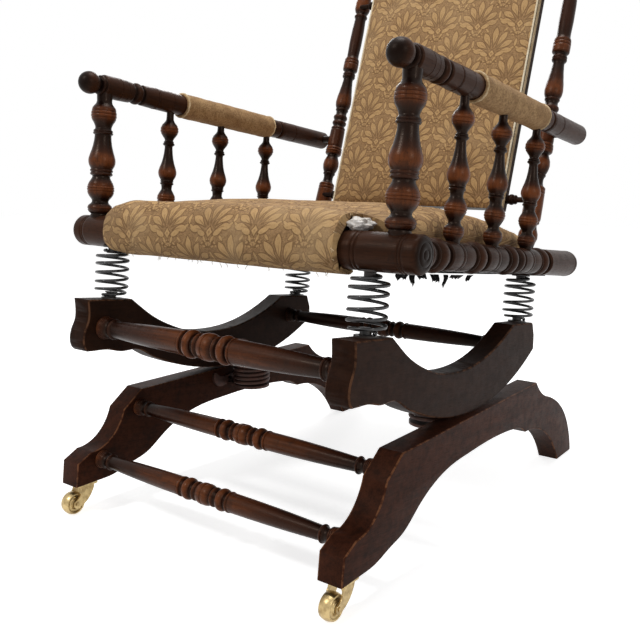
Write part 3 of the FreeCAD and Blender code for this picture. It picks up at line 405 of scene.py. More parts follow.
def jacquard(name, worn):
    # the pattern lies on the cloth's own flat measure, so it follows every curve of it
    material, tree, shader = newMaterial(name)
    w = weave
    source = tree.nodes.new("ShaderNodeUVMap")
    source.uv_map = "cloth"
    inMm = vectorMath(tree, "MULTIPLY", source.outputs[0], (1000, 1000, 0)).outputs[0]
    wobble = tree.nodes.new("ShaderNodeTexNoise")
    wobble.inputs["Scale"].default_value = 0.016
    feed(tree, wobble.inputs["Vector"], inMm)
    pulled = vectorMath(tree, "SUBTRACT", wobble.outputs["Color"], (0.5, 0.5, 0.5)).outputs[0]
    pulled = vectorMath(tree, "MULTIPLY", pulled, (worn["pulled"], worn["pulled"], 0)).outputs[0]
    parts = tree.nodes.new("ShaderNodeSeparateXYZ")
    feed(tree, parts.inputs[0], vectorMath(tree, "ADD", inMm, pulled).outputs[0])
    lightA, darkA = oneFan(tree, parts.outputs[0], parts.outputs[1], 0.0, 0.0)
    lightB, darkB = oneFan(tree, parts.outputs[0], parts.outputs[1], w["across"] / 2, w["up"] / 2)
    light, dark = larger(tree, lightA, lightB), larger(tree, darkA, darkB)
    thread = yarns(tree, inMm, 0.42, 0.62)
    ribs = noiseAt(tree, stretch(tree, inMm, (0.9, 0.22, 1)), 1.0, 3, 0.6)
    damask = noiseAt(tree, inMm, 0.20, 4, 0.7, 1.2)
    curls = times(tree, scrolls(tree, inMm, 0.17, 0.045), 0.75)
    curls = larger(tree, curls, times(tree, scrolls(tree, inMm, 0.31, 0.06), 0.5))
    hatch = times(tree, scrolls(tree, inMm, 0.24, 0.05), 0.42)
    age = noiseAt(tree, place(tree), 9.0, 5, 0.6, 0.4)
    ground = mixColour(tree, fade(tree, damask, 0.38, 0.60), w["groundDark"], w["ground"])
    ground = mixColour(tree, times(tree, curls, 0.55), ground, w["fanDark"])
    ground = mixColour(tree, hatch, ground, w["line"])
    ground = mixColour(tree, times(tree, dark, 0.72), ground, w["line"])
    figure = mixColour(tree, fade(tree, ribs, 0.30, 0.62), w["fanDark"], w["fan"])
    colour = mixColour(tree, times(tree, light, worn["clear"]), ground, figure)
    colour = mixColour(tree, 0.30, colour, mixColour(tree, thread, w["yarn"], (1, 1, 1)), "MULTIPLY")
    colour = mixColour(tree, times(tree, fade(tree, age, 0.50, 0.72), worn["dirt"]), colour, w["dirt"])
    colour = mixColour(tree, times(tree, fade(tree, age, 0.52, 0.30), worn["fade"]), colour, w["faded"])
    feed(tree, shader.inputs["Base Color"], colour)
    shader.inputs["Roughness"].default_value = 0.85
    shader.inputs["Sheen Weight"].default_value = 0.04
    shader.inputs["Specular IOR Level"].default_value = 0.12
    low = bumpOf(tree, light, 0.45, 0.0007)
    low = bumpOf(tree, minus(tree, curls, dark), 0.30, 0.0006, low)
    feed(tree, shader.inputs["Normal"], bumpOf(tree, thread, 0.35, 0.00025, low))
    return material


def plainCloth(name, colour, second, dark, scale=1.0, sheen=0.03, curly=0.0):
    # plain woven cloth with blotches; the yarns run along the chair's own axes
    material, tree, shader = newMaterial(name)
    spot = place(tree)
    blotch = noiseAt(tree, spot, 38 * scale, 5, 0.62, 0.4)
    fibre = noiseAt(tree, spot, 900 * scale, 3, 0.6)
    rib = noiseAt(tree, stretch(tree, spot, (1400 * scale, 220 * scale, 1400 * scale)), 1.0, 2, 0.5)
    base = mixColour(tree, fade(tree, blotch, 0.36, 0.62), colour, second)
    base = mixColour(tree, times(tree, fade(tree, rib, 0.50, 0.66), 0.5), base, dark)
    if curly:
        lines = times(tree, scrolls(tree, spot, 210.0, 0.06), curly)
        base = mixColour(tree, lines, base, dark)
    feed(tree, shader.inputs["Base Color"], base)
    feed(tree, shader.inputs["Roughness"], plus(tree, 0.78, times(tree, fibre, 0.15)))
    shader.inputs["Sheen Weight"].default_value = sheen
    shader.inputs["Specular IOR Level"].default_value = 0.12
    low = bumpOf(tree, rib, 0.4, 0.0004)
    feed(tree, shader.inputs["Normal"], bumpOf(tree, fibre, 0.3, 0.0003, low))
    return material


# Turned nodes that keep their own shape: which way each runs, and its tone
turnings = {
    "base_lower_stretcher": (sideways, "warm"), "base_upper_stretcher": (sideways, "warm"),
    "rocker_front_stretcher": (sideways, "warm"), "rocker_rear_stretcher": (sideways, "dark"),
    "crest_rail": (sideways, "warm"),
}
for side in ("left", "right"):
    turnings["side_rail_" + side] = (foreAft, "rail")
    turnings["arm_" + side] = (foreAft, "rail")


def pointsOf(name):
    mesh = nodes[name].data
    spots = np.zeros(len(mesh.vertices) * 3, np.float32)
    mesh.vertices.foreach_get("co", spots)
    return spots.reshape(-1, 3).astype(float)


def axisOf(name, along):
    # middle and largest radius of a turned node
    spots = pointsOf(name)
    a = Vector((0, 0, 1)).cross(along)
    a = (a if a.length > 0.1 else Vector((1, 0, 0))).normalized()
    b = along.cross(a)
    onA, onB, onAxis = spots @ np.array(a), spots @ np.array(b), spots @ np.array(along)
    middle = (a * (onA.max() + onA.min()) + b * (onB.max() + onB.min())
              + along * (onAxis.max() + onAxis.min())) / 2
    return middle, (onA.max() - onA.min()) / 2


def dress(name, material):
    slots = nodes[name].data.materials
    slots.clear()
    slots.append(material)


rubbedAndLitFrom = {"thin": 0.50, "thick": 1.02}   # shares of the largest radius, over which turned wood lightens to its worn colour, wear and painted highlight together
for count, (name, (along, tone)) in enumerate(sorted(turnings.items())):
    centre, radius = axisOf(name, along)
    dress(name, turnedWood(name + "_wood", centre, along, rubbedAndLitFrom["thin"] * radius,
                           rubbedAndLitFrom["thick"] * radius, tone, count + 1))
print("turned pieces:", len(turnings))


plainWood = sawnWood("frame_wood", "rail", sideways, {"least": 0.25, "more": 0.3}, 3)
backWood = sawnWood("back_frame_wood", "rocker", upBack, {"least": 0.25, "more": 0.35}, 5)
for name in ("rear_rail", "arm_dowels", "back_stubs", "back_frame_top", "back_frame_bottom"):
    dress(name, plainWood)
for name in ("back_stile_left", "back_stile_right"):
    dress(name, backWood)
blackIron = plainMetal("black_iron", (0.012, 0.011, 0.011), (0.030, 0.020, 0.016),
                       rough=0.32, metal=0.35, spread=70, coat=0.2)
coilBlack = plainMetal("coil_black", (0.006, 0.006, 0.0065), (0.014, 0.012, 0.012),
                       rough=0.28, metal=0.3, spread=90, coat=0.3, bump=0.08)
oldSteel = plainMetal("old_steel", (0.040, 0.018, 0.013), (0.075, 0.030, 0.020),
                      rough=0.42, metal=0.55, spread=80, bump=0.2)
brass = plainMetal("castor_brass_worn", (0.52, 0.39, 0.19), (0.30, 0.21, 0.095),
                   rough=0.22, metal=1.0, spread=85, bump=0.12)
screwSteel = plainMetal("screw_steel", (0.30, 0.27, 0.23), (0.12, 0.10, 0.085),
                        rough=0.35, metal=0.9, spread=200)
for name in ("lower_spring_spools", "upper_spring_spools"):
    dress(name, blackIron)
for side in ("left", "right"):
    dress("base_spring_bracket_" + side, oldSteel)
    dress("rocker_spring_bracket_" + side, oldSteel)
    for word in ("plate", "fork", "wheel", "axle"):
        dress("castor_%s_%s" % (word, side), brass)
dress("base_screws", screwSteel)
dress("rocker_bracket_screws", screwSteel)


# Meshes and pieces
def newPiece(name, mesh, material, body, replaced):
    thing = bpy.data.objects.new(name, mesh)
    bpy.context.scene.collection.objects.link(thing)
    mesh.materials.append(material)
    mesh.polygons.foreach_set("use_smooth", [True] * len(mesh.polygons))
    if body is not None:
        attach(thing, body)
    if replaced:
        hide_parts(*replaced)
    return thing


def meshOf(name, verts, faces):
    mesh = bpy.data.meshes.new(name)
    mesh.from_pydata(verts, [], faces)
    return mesh


def meshFrom(work, name):
    mesh = bpy.data.meshes.new(name)
    work.to_mesh(mesh)
    work.free()
    return mesh


def ringedMesh(name, verts, sides):
    # joins rings of vertices into one closed tube
    count = len(verts) // sides
    faces = []
    for n in range(count - 1):
        for k in range(sides):
            a, b = n * sides + k, n * sides + (k + 1) % sides
            faces.append((a, b, b + sides, a + sides))
    faces.append(tuple(reversed(range(sides))))
    faces.append(tuple(range((count - 1) * sides, count * sides)))
    return meshOf(name, verts, faces)


# Sawn sides, with their edges rubbed; the base's sides also have them eased
easedEdges = {"reach": 2.4 * mm, "steps": 3, "round": 0.6, "sharp": 24,
              "flatFrom": 0.999, "edgeFrom": 0.08, "edgeTo": 0.985}   # how far a face looks sideways
rubbedFace = {"least": 0.22, "more": 0.22}
rubbedEdge = {"least": 0.45, "more": 0.95}


def sawnSide(name, body, tone, bevel, grain, seed):
    e = easedEdges
    work = bmesh.new()
    work.from_mesh(nodes[name].data)
    bmesh.ops.remove_doubles(work, verts=work.verts, dist=1e-5)
    bmesh.ops.dissolve_limit(work, angle_limit=math.radians(0.8), verts=work.verts, edges=work.edges)
    if bevel:
        flat = {f for f in work.faces if abs(f.normal.x) > e["flatFrom"]}
        rims = [r for r in work.edges if len([f for f in r.link_faces if f in flat]) == 1]
        bmesh.ops.bevel(work, geom=rims, offset=e["reach"], segments=e["steps"],
                        profile=e["round"], affect="EDGES", clamp_overlap=True)
    work.normal_update()
    for face in work.faces:
        face.material_index = 1 if e["edgeFrom"] < abs(face.normal.x) < e["edgeTo"] else 0
    mesh = meshFrom(work, name + "_sawn")
    newPiece(name + "_sawn", mesh, sawnWood(name + "_face", tone, grain, rubbedFace, seed),
             body, [name])
    mesh.materials.append(sawnWood(name + "_edge", tone, grain, rubbedEdge, seed))
    mesh.set_sharp_from_angle(angle=math.radians(e["sharp"]))


for side, seed in (("left", 2), ("right", 6)):
    sawnSide("base_side_" + side, "base", "base", True, Vector((0, 1, -0.12)).normalized(),
             seed)
    sawnSide("rocker_side_" + side, "rocker", "rocker", False, foreAft, seed + 1)
print("sawn sides done")


# Turned pieces with finer rings than the solids have: (height, radius) in mm, from the foot up
postProfile = [
    (-8, 12.5), (0, 14.5), (3, 13.6), (4, 15.0), (6, 17.6), (9, 18.8), (10, 18.2), (11, 19.2), (13, 19.3),
    (14, 18.5), (15.5, 18.3), (18.8, 14.6), (21, 12.9), (23.5, 12.8), (25.7, 13.9), (30, 17.5), (34, 19.7),
    (37.6, 20.6), (38.4, 19.9), (39.4, 20.9), (41.6, 21.1), (42.4, 20.2), (43.3, 21.0), (45.0, 20.8),
    (45.9, 19.9), (46.8, 20.3), (52, 18.2), (57, 15.2), (60, 13.8), (62, 14.0), (63.5, 16.8), (65.5, 17.6),
    (67.3, 16.4), (68.4, 16.4), (69.2, 17.4), (71, 17.8), (72.6, 16.6), (74, 17.2), (78, 19.4), (82, 20.6),
    (86, 20.9), (90, 20.4), (96, 18.6), (102, 16.6), (110, 14.6), (118, 13.3), (124, 12.8), (126, 13.0),
    (127, 15.0), (129, 15.6), (130.4, 14.4), (131.6, 15.1), (133, 14.6), (134.5, 12.8), (137, 12.4),
    (140, 13.2), (144, 15.0), (148, 17.6), (151.5, 19.1), (152.5, 18.3), (153.6, 19.5), (156.4, 19.7),
    (157.4, 18.7), (158.4, 19.6), (161, 19.3), (162, 18.2), (163, 18.8), (166, 18.2), (168, 17.4),
    (171, 15.0), (174, 12.6), (178, 11.6), (184, 12.0), (193, 12.2)]
spindleProfile = [
    (-8, 7.0), (0, 9.6), (2, 9.2), (5, 11.0), (8, 13.0), (10, 13.7), (11, 13.0), (12, 14.0), (15, 14.2),
    (16, 13.4), (17.4, 13.8), (20, 12.6), (23, 9.4), (25.5, 8.2), (28.5, 8.4), (31, 10.2), (36, 13.0),
    (40, 14.9), (41, 14.1), (42, 15.2), (44.4, 15.5), (45.4, 14.6), (46.4, 15.2), (48, 14.8), (54, 11.6),
    (58.5, 8.9), (61, 8.8), (66, 9.4), (67.2, 11.2), (69, 11.6), (70.5, 10.2), (72, 11.3), (73.5, 10.8),
    (75, 11.2), (80, 14.2), (85, 15.5), (89, 15.4), (95, 13.6), (102, 11.0), (110, 8.9), (118, 7.6),
    (126, 6.8), (129.5, 6.6), (131, 7.4), (132.3, 9.6), (134.3, 10.0), (135.8, 8.4), (137.3, 8.9),
    (139, 7.2), (141, 7.2), (144, 9.0), (148, 12.0), (151.5, 14.3), (152.5, 13.6), (153.5, 15.0),
    (156.4, 15.4), (157.4, 14.4), (158.4, 15.2), (161, 14.8), (162, 13.9), (165, 12.9), (168, 10.2),
    (171, 7.8), (174, 6.4), (180, 6.1), (193, 6.2)]
backPostProfile = [
    (-92, 11.0), (-80, 12.5), (-72, 13.2), (-66, 14.5), (-58, 17.0), (-50, 16.5), (-42, 13.6), (-36, 12.2),
    (-33, 12.6), (-31.5, 15.4), (-29, 16.0), (-27, 14.8), (-25.6, 16.6), (-22, 17.0), (0, 16.8), (22, 16.2),
    (23, 15.2), (24.2, 16.2), (28, 16.1), (29, 15.1), (30.2, 16.0), (33, 15.6), (35, 13.6), (37, 11.4),
    (42, 9.8), (48, 9.6), (53, 10.6), (54.5, 12.2), (56.5, 12.6), (58, 11.4), (60, 12.6), (66, 15.0),
    (74, 16.4), (82, 15.6), (90, 12.6), (94, 11.2), (96, 11.6), (97, 14.6), (99, 16.4), (101, 16.8),
    (102.5, 15.2), (104, 16.9), (106.5, 16.9), (108, 15.2), (109.5, 16.6), (112, 16.2), (114, 14.6),
    (116, 15.4), (134, 15.2), (150, 14.8), (152, 13.8), (153.5, 14.8), (156, 14.4), (158, 12.2),
    (161, 11.8), (163, 13.4), (166, 14.8), (169, 14.2), (171, 12.2), (173, 12.2), (176, 14.0), (179, 14.6),
    (182, 13.6), (184, 11.6), (188, 11.0), (192, 11.2), (194, 13.0), (196, 13.4), (198, 12.2), (200, 13.6),
    (205, 15.4), (212, 16.2), (222, 15.4), (236, 13.2), (250, 11.2), (262, 10.0), (266, 10.4),
    (267.5, 12.6), (270, 13.4), (272, 12.0), (274, 13.2), (276.5, 12.6), (278, 11.2), (281, 11.4),
    (283, 14.6), (285, 15.4), (296, 15.6), (297, 14.6), (298.2, 15.5), (302, 15.4), (303, 14.4),
    (304.2, 15.2), (308, 14.6), (311, 12.6), (318, 12.2), (345, 13.0), (372, 12.8), (396, 11.6),
    (400, 11.4), (402, 13.4), (404.5, 13.8), (407, 12.2), (410, 11.6), (414, 13.8), (420, 15.8),
    (430, 16.4), (444, 14.8), (456, 12.0), (462, 11.2), (464, 13.2), (467, 13.8), (469, 12.2), (471, 13.0),
    (473, 14.8), (500, 15.0), (501, 14.0), (502, 15.0), (506, 14.9), (507, 14.0), (508, 14.8), (548, 14.6),
    (551, 12.4), (556, 10.6), (560, 10.4), (562, 13.6), (564, 14.0), (566, 11.0), (569, 9.2), (572, 9.4),
    (577, 13.6), (582, 15.2), (587, 13.6), (590, 9.0), (592, 1.0)]
# The big front rail, with ringed ends; its other half is the same
railEnd = [
    (-2.0, 0.6), (-1.8, 5.0), (-1.0, 6.3), (-1.7, 7.6), (-1.3, 13.5), (0.0, 15.0), (-0.5, 16.3), (0.5, 20.5),
    (2.2, 22.8), (5.0, 24.2), (19.6, 24.3), (20.8, 23.3), (22.0, 24.3), (23.6, 24.3), (24.8, 23.3),
    (26.0, 24.3), (52, 24.6), (84.6, 24.4), (86.0, 23.1), (87.4, 24.4), (90.4, 24.4), (91.8, 23.1),
    (93.2, 24.4), (106, 24.3)]
frontRail = {"half": 314.0, "y": -329.0 * mm, "z": 413.0 * mm}
# thin and thick: shares of the widest radius over which a turned piece lightens from its dark hollows to its
# worn colour, wear and painted highlight together
turnedSkin = {"sides": 44, "step": 3.5, "thin": 0.60, "thick": 1.03, "sharp": 50}
posts = {"x": 277.0 * mm, "frontY": -329.0 * mm, "frontFoot": 437.0 * mm, "spindleFoot": 431.5 * mm,
         "armZ": 639.0 * mm, "frontLong": 184.5, "spindleLong": 186.0, "underArm": 16.5 * mm,
         "backX": 228.0 * mm, "rows": (("front", -190.0), ("middle", -64.0), ("rear", 66.0))}


def lathe(name, foot, along, profile, tone, body, replaced, seed, scale=1.0):
    t = turnedSkin
    sides = t["sides"]
    ring = []
    for (h1, r1), (h2, r2) in zip(profile, profile[1:]):
        n = max(1, int((h2 - h1) / t["step"]))
        for k in range(n):
            u = k / n
            eased = u * u * (3 - 2 * u) if n > 2 else u
            ring.append((h1 + (h2 - h1) * u, r1 + (r2 - r1) * (0.5 * u + 0.5 * eased)))
    ring.append(profile[-1])
    a = along.orthogonal().normalized()
    b = along.cross(a)
    verts = []
    for h, r in ring:
        for k in range(sides):
            turn = 2 * math.pi * k / sides
            verts.append(foot + along * (h * scale * mm)
                         + (a * math.cos(turn) + b * math.sin(turn)) * (r * mm))
    mesh = ringedMesh(name, verts, sides)
    widest = max(r for h, r in profile) * mm
    wood = turnedWood(name + "_wood", foot, along, t["thin"] * widest, t["thick"] * widest, tone, seed)
    newPiece(name, mesh, wood, body, replaced)
    mesh.set_sharp_from_angle(angle=math.radians(t["sharp"]))


railProfile = railEnd + [(2 * frontRail["half"] - h, r) for h, r in reversed(railEnd)]
lathe("front_rail_turned", level(-frontRail["half"] * mm, frontRail["y"], frontRail["z"]), sideways,
      railProfile, "rail", "seat", ["front_rail"], 33)
seed = 40
for side, sign in (("left", 1), ("right", -1)):
    x = sign * posts["x"]
    under = posts["armZ"] - posts["underArm"]
    lathe("front_post_turned_" + side, level(x, posts["frontY"], posts["frontFoot"]), upright, postProfile,
          "warm", "seat", ["front_post_" + side], seed,
          scale=(under - posts["frontFoot"]) / mm / posts["frontLong"])
    for word, row in posts["rows"]:
        seed += 1
        lathe("spindle_turned_%s_%s" % (word, side), level(x, row * mm, posts["spindleFoot"]), upright,
              spindleProfile, "warm", "seat", ["spindle_%s_%s" % (word, side)], seed,
              scale=(under - posts["spindleFoot"]) / mm / posts["spindleLong"])
    seed += 1
    lathe("back_post_turned_" + side, onBack(sign * posts["backX"], 0, 0), upBack, backPostProfile, "warm",
          "seat", ["back_post_" + side], seed)
    seed += 1
print("posts and spindles done")


# Springs: one unbroken tube of wire each
def tube(name, points, radius, sides=10):
    # closed tube through points, with a frame carried along it
    points = [Vector(p) for p in points]
    radii = radius if isinstance(radius, list) else [radius] * len(points)
    verts, side = [], None
    for n, p in enumerate(points):
        ahead = (points[min(n + 1, len(points) - 1)] - points[max(n - 1, 0)]).normalized()
        if side is None:
            side = ahead.orthogonal().normalized()
        side = (side - ahead * side.dot(ahead)).normalized()
        other = ahead.cross(side)
        for k in range(sides):
            a = 2 * math.pi * k / sides
            verts.append(p + (side * math.cos(a) + other * math.sin(a)) * radii[n])
    return ringedMesh(name, verts, sides)


seatCoil = {
    "turns": 6.25, "wire": 4.6 * mm, "radius": 24.0 * mm, "endRadius": 12.2 * mm,
    "low": 308.0 * mm, "high": 389.0 * mm, "end": 4.6 * mm, "perTurn": 40,
    "narrowTurns": 0.9,    # over which an end narrows
    "closer": 0.044,       # how much closer the turns lie at the ends
    "held": 6.0 * mm,      # a point this far in from each end is computed and not used
    "x": 240.0 * mm, "frontY": -329.0 * mm, "rearY": 150.0 * mm,
}
platformCoil = {"turns": 5.25, "wire": 7.0 * mm, "radius": 30.5 * mm, "pitch": 7.75 * mm, "perTurn": 44,
                "held": 2.0 * mm, "x": 187.0 * mm, "y": -48.7 * mm, "low": 156.0 * mm}


def seatSpring(where, sign, row, begin):
    c = seatCoil
    tall = c["high"] - c["low"]
    count = int(c["turns"] * c["perTurn"])
    points = []
    for n in range(count + 1):
        u = n / count
        k = min(1.0, min(u, 1 - u) * c["turns"] / c["narrowTurns"])
        r = c["endRadius"] + (c["radius"] - c["endRadius"]) * k * k * (3 - 2 * k)
        z = c["end"] + (tall - 2 * c["end"]) * (u - c["closer"] * math.sin(2 * math.pi * u))
        a = begin + u * c["turns"] * 2 * math.pi
        points.append(level(sign * c["x"] + r * math.cos(a), row + r * math.sin(a), c["low"] + z))
    name = "seat_spring_" + where
    thing = newPiece(name + "_wire", tube(name + "_wire", points, c["wire"] / 2), coilBlack,
                     None, [name])
    level(sign * c["x"], row, c["low"] + c["held"])
    level(sign * c["x"], row, c["high"] - c["held"])
    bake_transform(thing)


for where, sign, row, begin in (("front_left", 1, seatCoil["frontY"], 0.0),
                                ("front_right", -1, seatCoil["frontY"], math.pi),
                                ("rear_left", 1, seatCoil["rearY"], 0.0),
                                ("rear_right", -1, seatCoil["rearY"], math.pi)):
    seatSpring(where, sign, row, begin)


def platformSpring(side, sign, begin):
    c = platformCoil
    count = int(c["turns"] * c["perTurn"])
    tall = c["turns"] * c["pitch"]
    points = []
    for n in range(count + 1):
        u = n / count
        a = begin + u * c["turns"] * 2 * math.pi
        points.append((sign * c["x"] + c["radius"] * math.cos(a), c["y"] + c["radius"] * math.sin(a),
                       c["low"] + u * tall))
    name = "platform_spring_" + side
    thing = newPiece(name + "_wire", tube(name + "_wire", points, c["wire"] / 2, 12), oldSteel,
                     None, [name])
    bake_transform(thing)


platformSpring("left", 1, 0.0)
platformSpring("right", -1, math.pi)
print("springs done")


# Soft pieces
def smoothLine(points, perSpan=12):
    # curve through points, as a list of 2-D points
    made = []
    for n in range(len(points) - 1):
        p0 = points[max(n - 1, 0)]
        p1, p2 = points[n], points[n + 1]
        p3 = points[min(n + 2, len(points) - 1)]
        for k in range(perSpan):
            t = k / perSpan
            spot = []
            for i in (0, 1):
                a = 2 * p1[i]
                b = (p2[i] - p0[i]) * t
                c = (2 * p0[i] - 5 * p1[i] + 4 * p2[i] - p3[i]) * t * t
                d = (3 * p1[i] - p0[i] - 3 * p2[i] + p3[i]) * t * t * t
                spot.append(0.5 * (a + b + c + d))
            made.append(tuple(spot))
    made.append(points[-1])
    return made


def evenly(points, count):
    # the same line with count + 1 points at equal steps
    runs = [0.0]
    for a, b in zip(points, points[1:]):
        runs.append(runs[-1] + math.dist(a, b))
    made = []
    n = 0
    for k in range(count + 1):
        at = runs[-1] * k / count
        while n < len(runs) - 2 and runs[n + 1] < at:
            n += 1
        t = (at - runs[n]) / max(runs[n + 1] - runs[n], 1e-9)
        made.append(tuple(a + (b - a) * t for a, b in zip(points[n], points[n + 1])))
    return made


def giveCloth(mesh, spots):
    # spots: where each vertex lies on the flat cloth, in metres
    layer = mesh.uv_layers.new(name="cloth")
    flat = []
    for loop in mesh.loops:
        flat.extend(spots[loop.vertex_index])
    layer.data.foreach_set("uv", flat)


def ripple(x, y, seed, scale):
    return noise.noise(Vector((x * scale, y * scale, seed)))


def slab(name, across, up, pointAt, flip=False, flatAt=None):
    # a thin cloth with two layers; pointAt and flatAt take shares of its width and height
    grid = [(i / across, j / up) for j in range(up + 1) for i in range(across + 1)]
    verts = [pointAt(u, v, layer) for layer in (0, 1) for u, v in grid]
    wide, count = across + 1, len(grid)
    faces = []
    for j in range(up):
        for i in range(across):
            a, b = j * wide + i, (j + 1) * wide + i
            one, two = (a, a + 1, b + 1, b), (a, b, b + 1, a + 1)
            if flip:
                one, two = two, one
            faces += [one, tuple(count + n for n in two)]
    rim = [*range(across), *(j * wide + across for j in range(up)),
           *(up * wide + i for i in range(across, 0, -1)), *(j * wide for j in range(up, 0, -1))]
    for a, c in zip(rim, rim[1:] + rim[:1]):
        faces.append((a, c, count + c, count + a) if flip else (c, a, count + a, count + c))
    mesh = meshOf(name, verts, faces)
    if flatAt is not None:
        giveCloth(mesh, [flatAt(u, v) for u, v in grid] * 2)
    return mesh


seat = {
    "railY": -329.0 * mm, "railZ": 413.0 * mm, "bore": 25.2 * mm,
    "half": 251.0 * mm, "rollFrom": -231.0 * mm, "rollTo": 205.0 * mm,
    "out": 38.5 * mm, "down": 32.0 * mm, "up": 50.0 * mm,         # reach of the roll from the rail's middle
    "outEnd": 27.5 * mm, "downEnd": 26.6 * mm, "upEnd": 28.5 * mm,
    "wholeEnd": 52.0 * mm, "tornEnd": 160.0 * mm, "tornShare": 0.72,   # how the roll thins to its ends
    "behind": 25.5 * mm,     # the top starts this far behind the rail's middle
    "frontZ": (28.0 * mm, 21.0 * mm), "backZ": (29.0 * mm, 14.0 * mm),   # at the sides, and more inwards
    "crown": 74.0 * mm, "crownSide": 33.0 * mm, "crownY": -70.0 * mm, "rounded": 5,
    "backY": 163.0 * mm, "floor": 402.0 * mm, "notchY": 128.0 * mm, "notchZ": 25.0 * mm,
    "rollSteps": 46, "topSteps": 60, "boreSteps": 14, "step": 7.0 * mm,
    "fanHeight": 7.0 * mm,   # the fans' bases lie this far above the middle of the roll
    "fanAcross": 2.6 * mm, "fanClimb": 0.065, "fanFrom": -77.0 * mm,
    "swell": 1.1 * mm, "wrinkle": 0.5 * mm, "fold": 3.0 * mm, "foldFrom": 165.0 * mm, "foldOver": 86.0 * mm,
    "worn": {"dirt": 0.50, "fade": 0.35, "pulled": 9.0, "clear": 0.85},
}


def seatLine(x):
    # outer line of the cushion at one place across it: roll first, then the top, in level y and z
    s = seat
    ry, rz = s["railY"], s["railZ"]
    side = math.sqrt(max(0.0, 1 - min(1.0, abs(x) / s["half"]) ** s["rounded"]))
    front = rz + s["frontZ"][0] + s["frontZ"][1] * side
    back = rz + s["backZ"][0] + s["backZ"][1] * side
    crown = rz + s["crownSide"] + (s["crown"] - s["crownSide"]) * side
    wholeShare = min(1.0, max(0.0, (x - s["rollFrom"]) / s["wholeEnd"]))
    grow = min(math.sqrt(max(0.0, 1 - (1 - wholeShare) ** 2)),
               1.0, s["tornShare"] + max(0.0, s["rollTo"] - x) / s["tornEnd"])
    out, down, up = (s[way + "End"] + (s[way] - s[way + "End"]) * grow for way in ("out", "down", "up"))
    roll = smoothLine([
        (ry + 15 * mm, rz - down + 3.0 * mm), (ry + 4 * mm, rz - down), (ry - 0.45 * out, rz - 0.88 * down),
        (ry - 0.88 * out, rz - 0.50 * down), (ry - out, rz + 2 * mm), (ry - 0.90 * out, rz + 0.50 * up),
        (ry - 0.55 * out, rz + 0.86 * up), (ry - 4 * mm, rz + up), (ry + 14 * mm, (rz + up + front) / 2),
        (ry + s["behind"], front)])
    start, middle, end = ry + s["behind"], s["crownY"], s["backY"]
    top = smoothLine([
        (start, front), ((start + middle) / 2, front + (crown - front) * 0.72),
        (middle, crown), ((middle + end) / 2, back + (crown - back) * 0.74), (end, back)], 16)
    return evenly(roll, s["rollSteps"]), evenly(top, s["topSteps"])


def seatRelief(x, y, z, share):
    # small dents and wrinkles of old stuffing, outwards
    s = seat
    relief = s["swell"] * ripple(x, y + z, 3.1, 16) + s["wrinkle"] * ripple(x * 0.35, y + z, 7.7, 60)
    # folds run in from the sides, where the cloth is pulled over the rails
    pulledIn = max(0.0, (abs(x) - s["foldFrom"]) / s["foldOver"])
    ridge = 1 - 2.4 * abs(ripple(x * 0.30 + 0.4 * y, y, 2.9, 48))
    return relief * share + s["fold"] * ridge * pulledIn * min(1.0, share * 3)


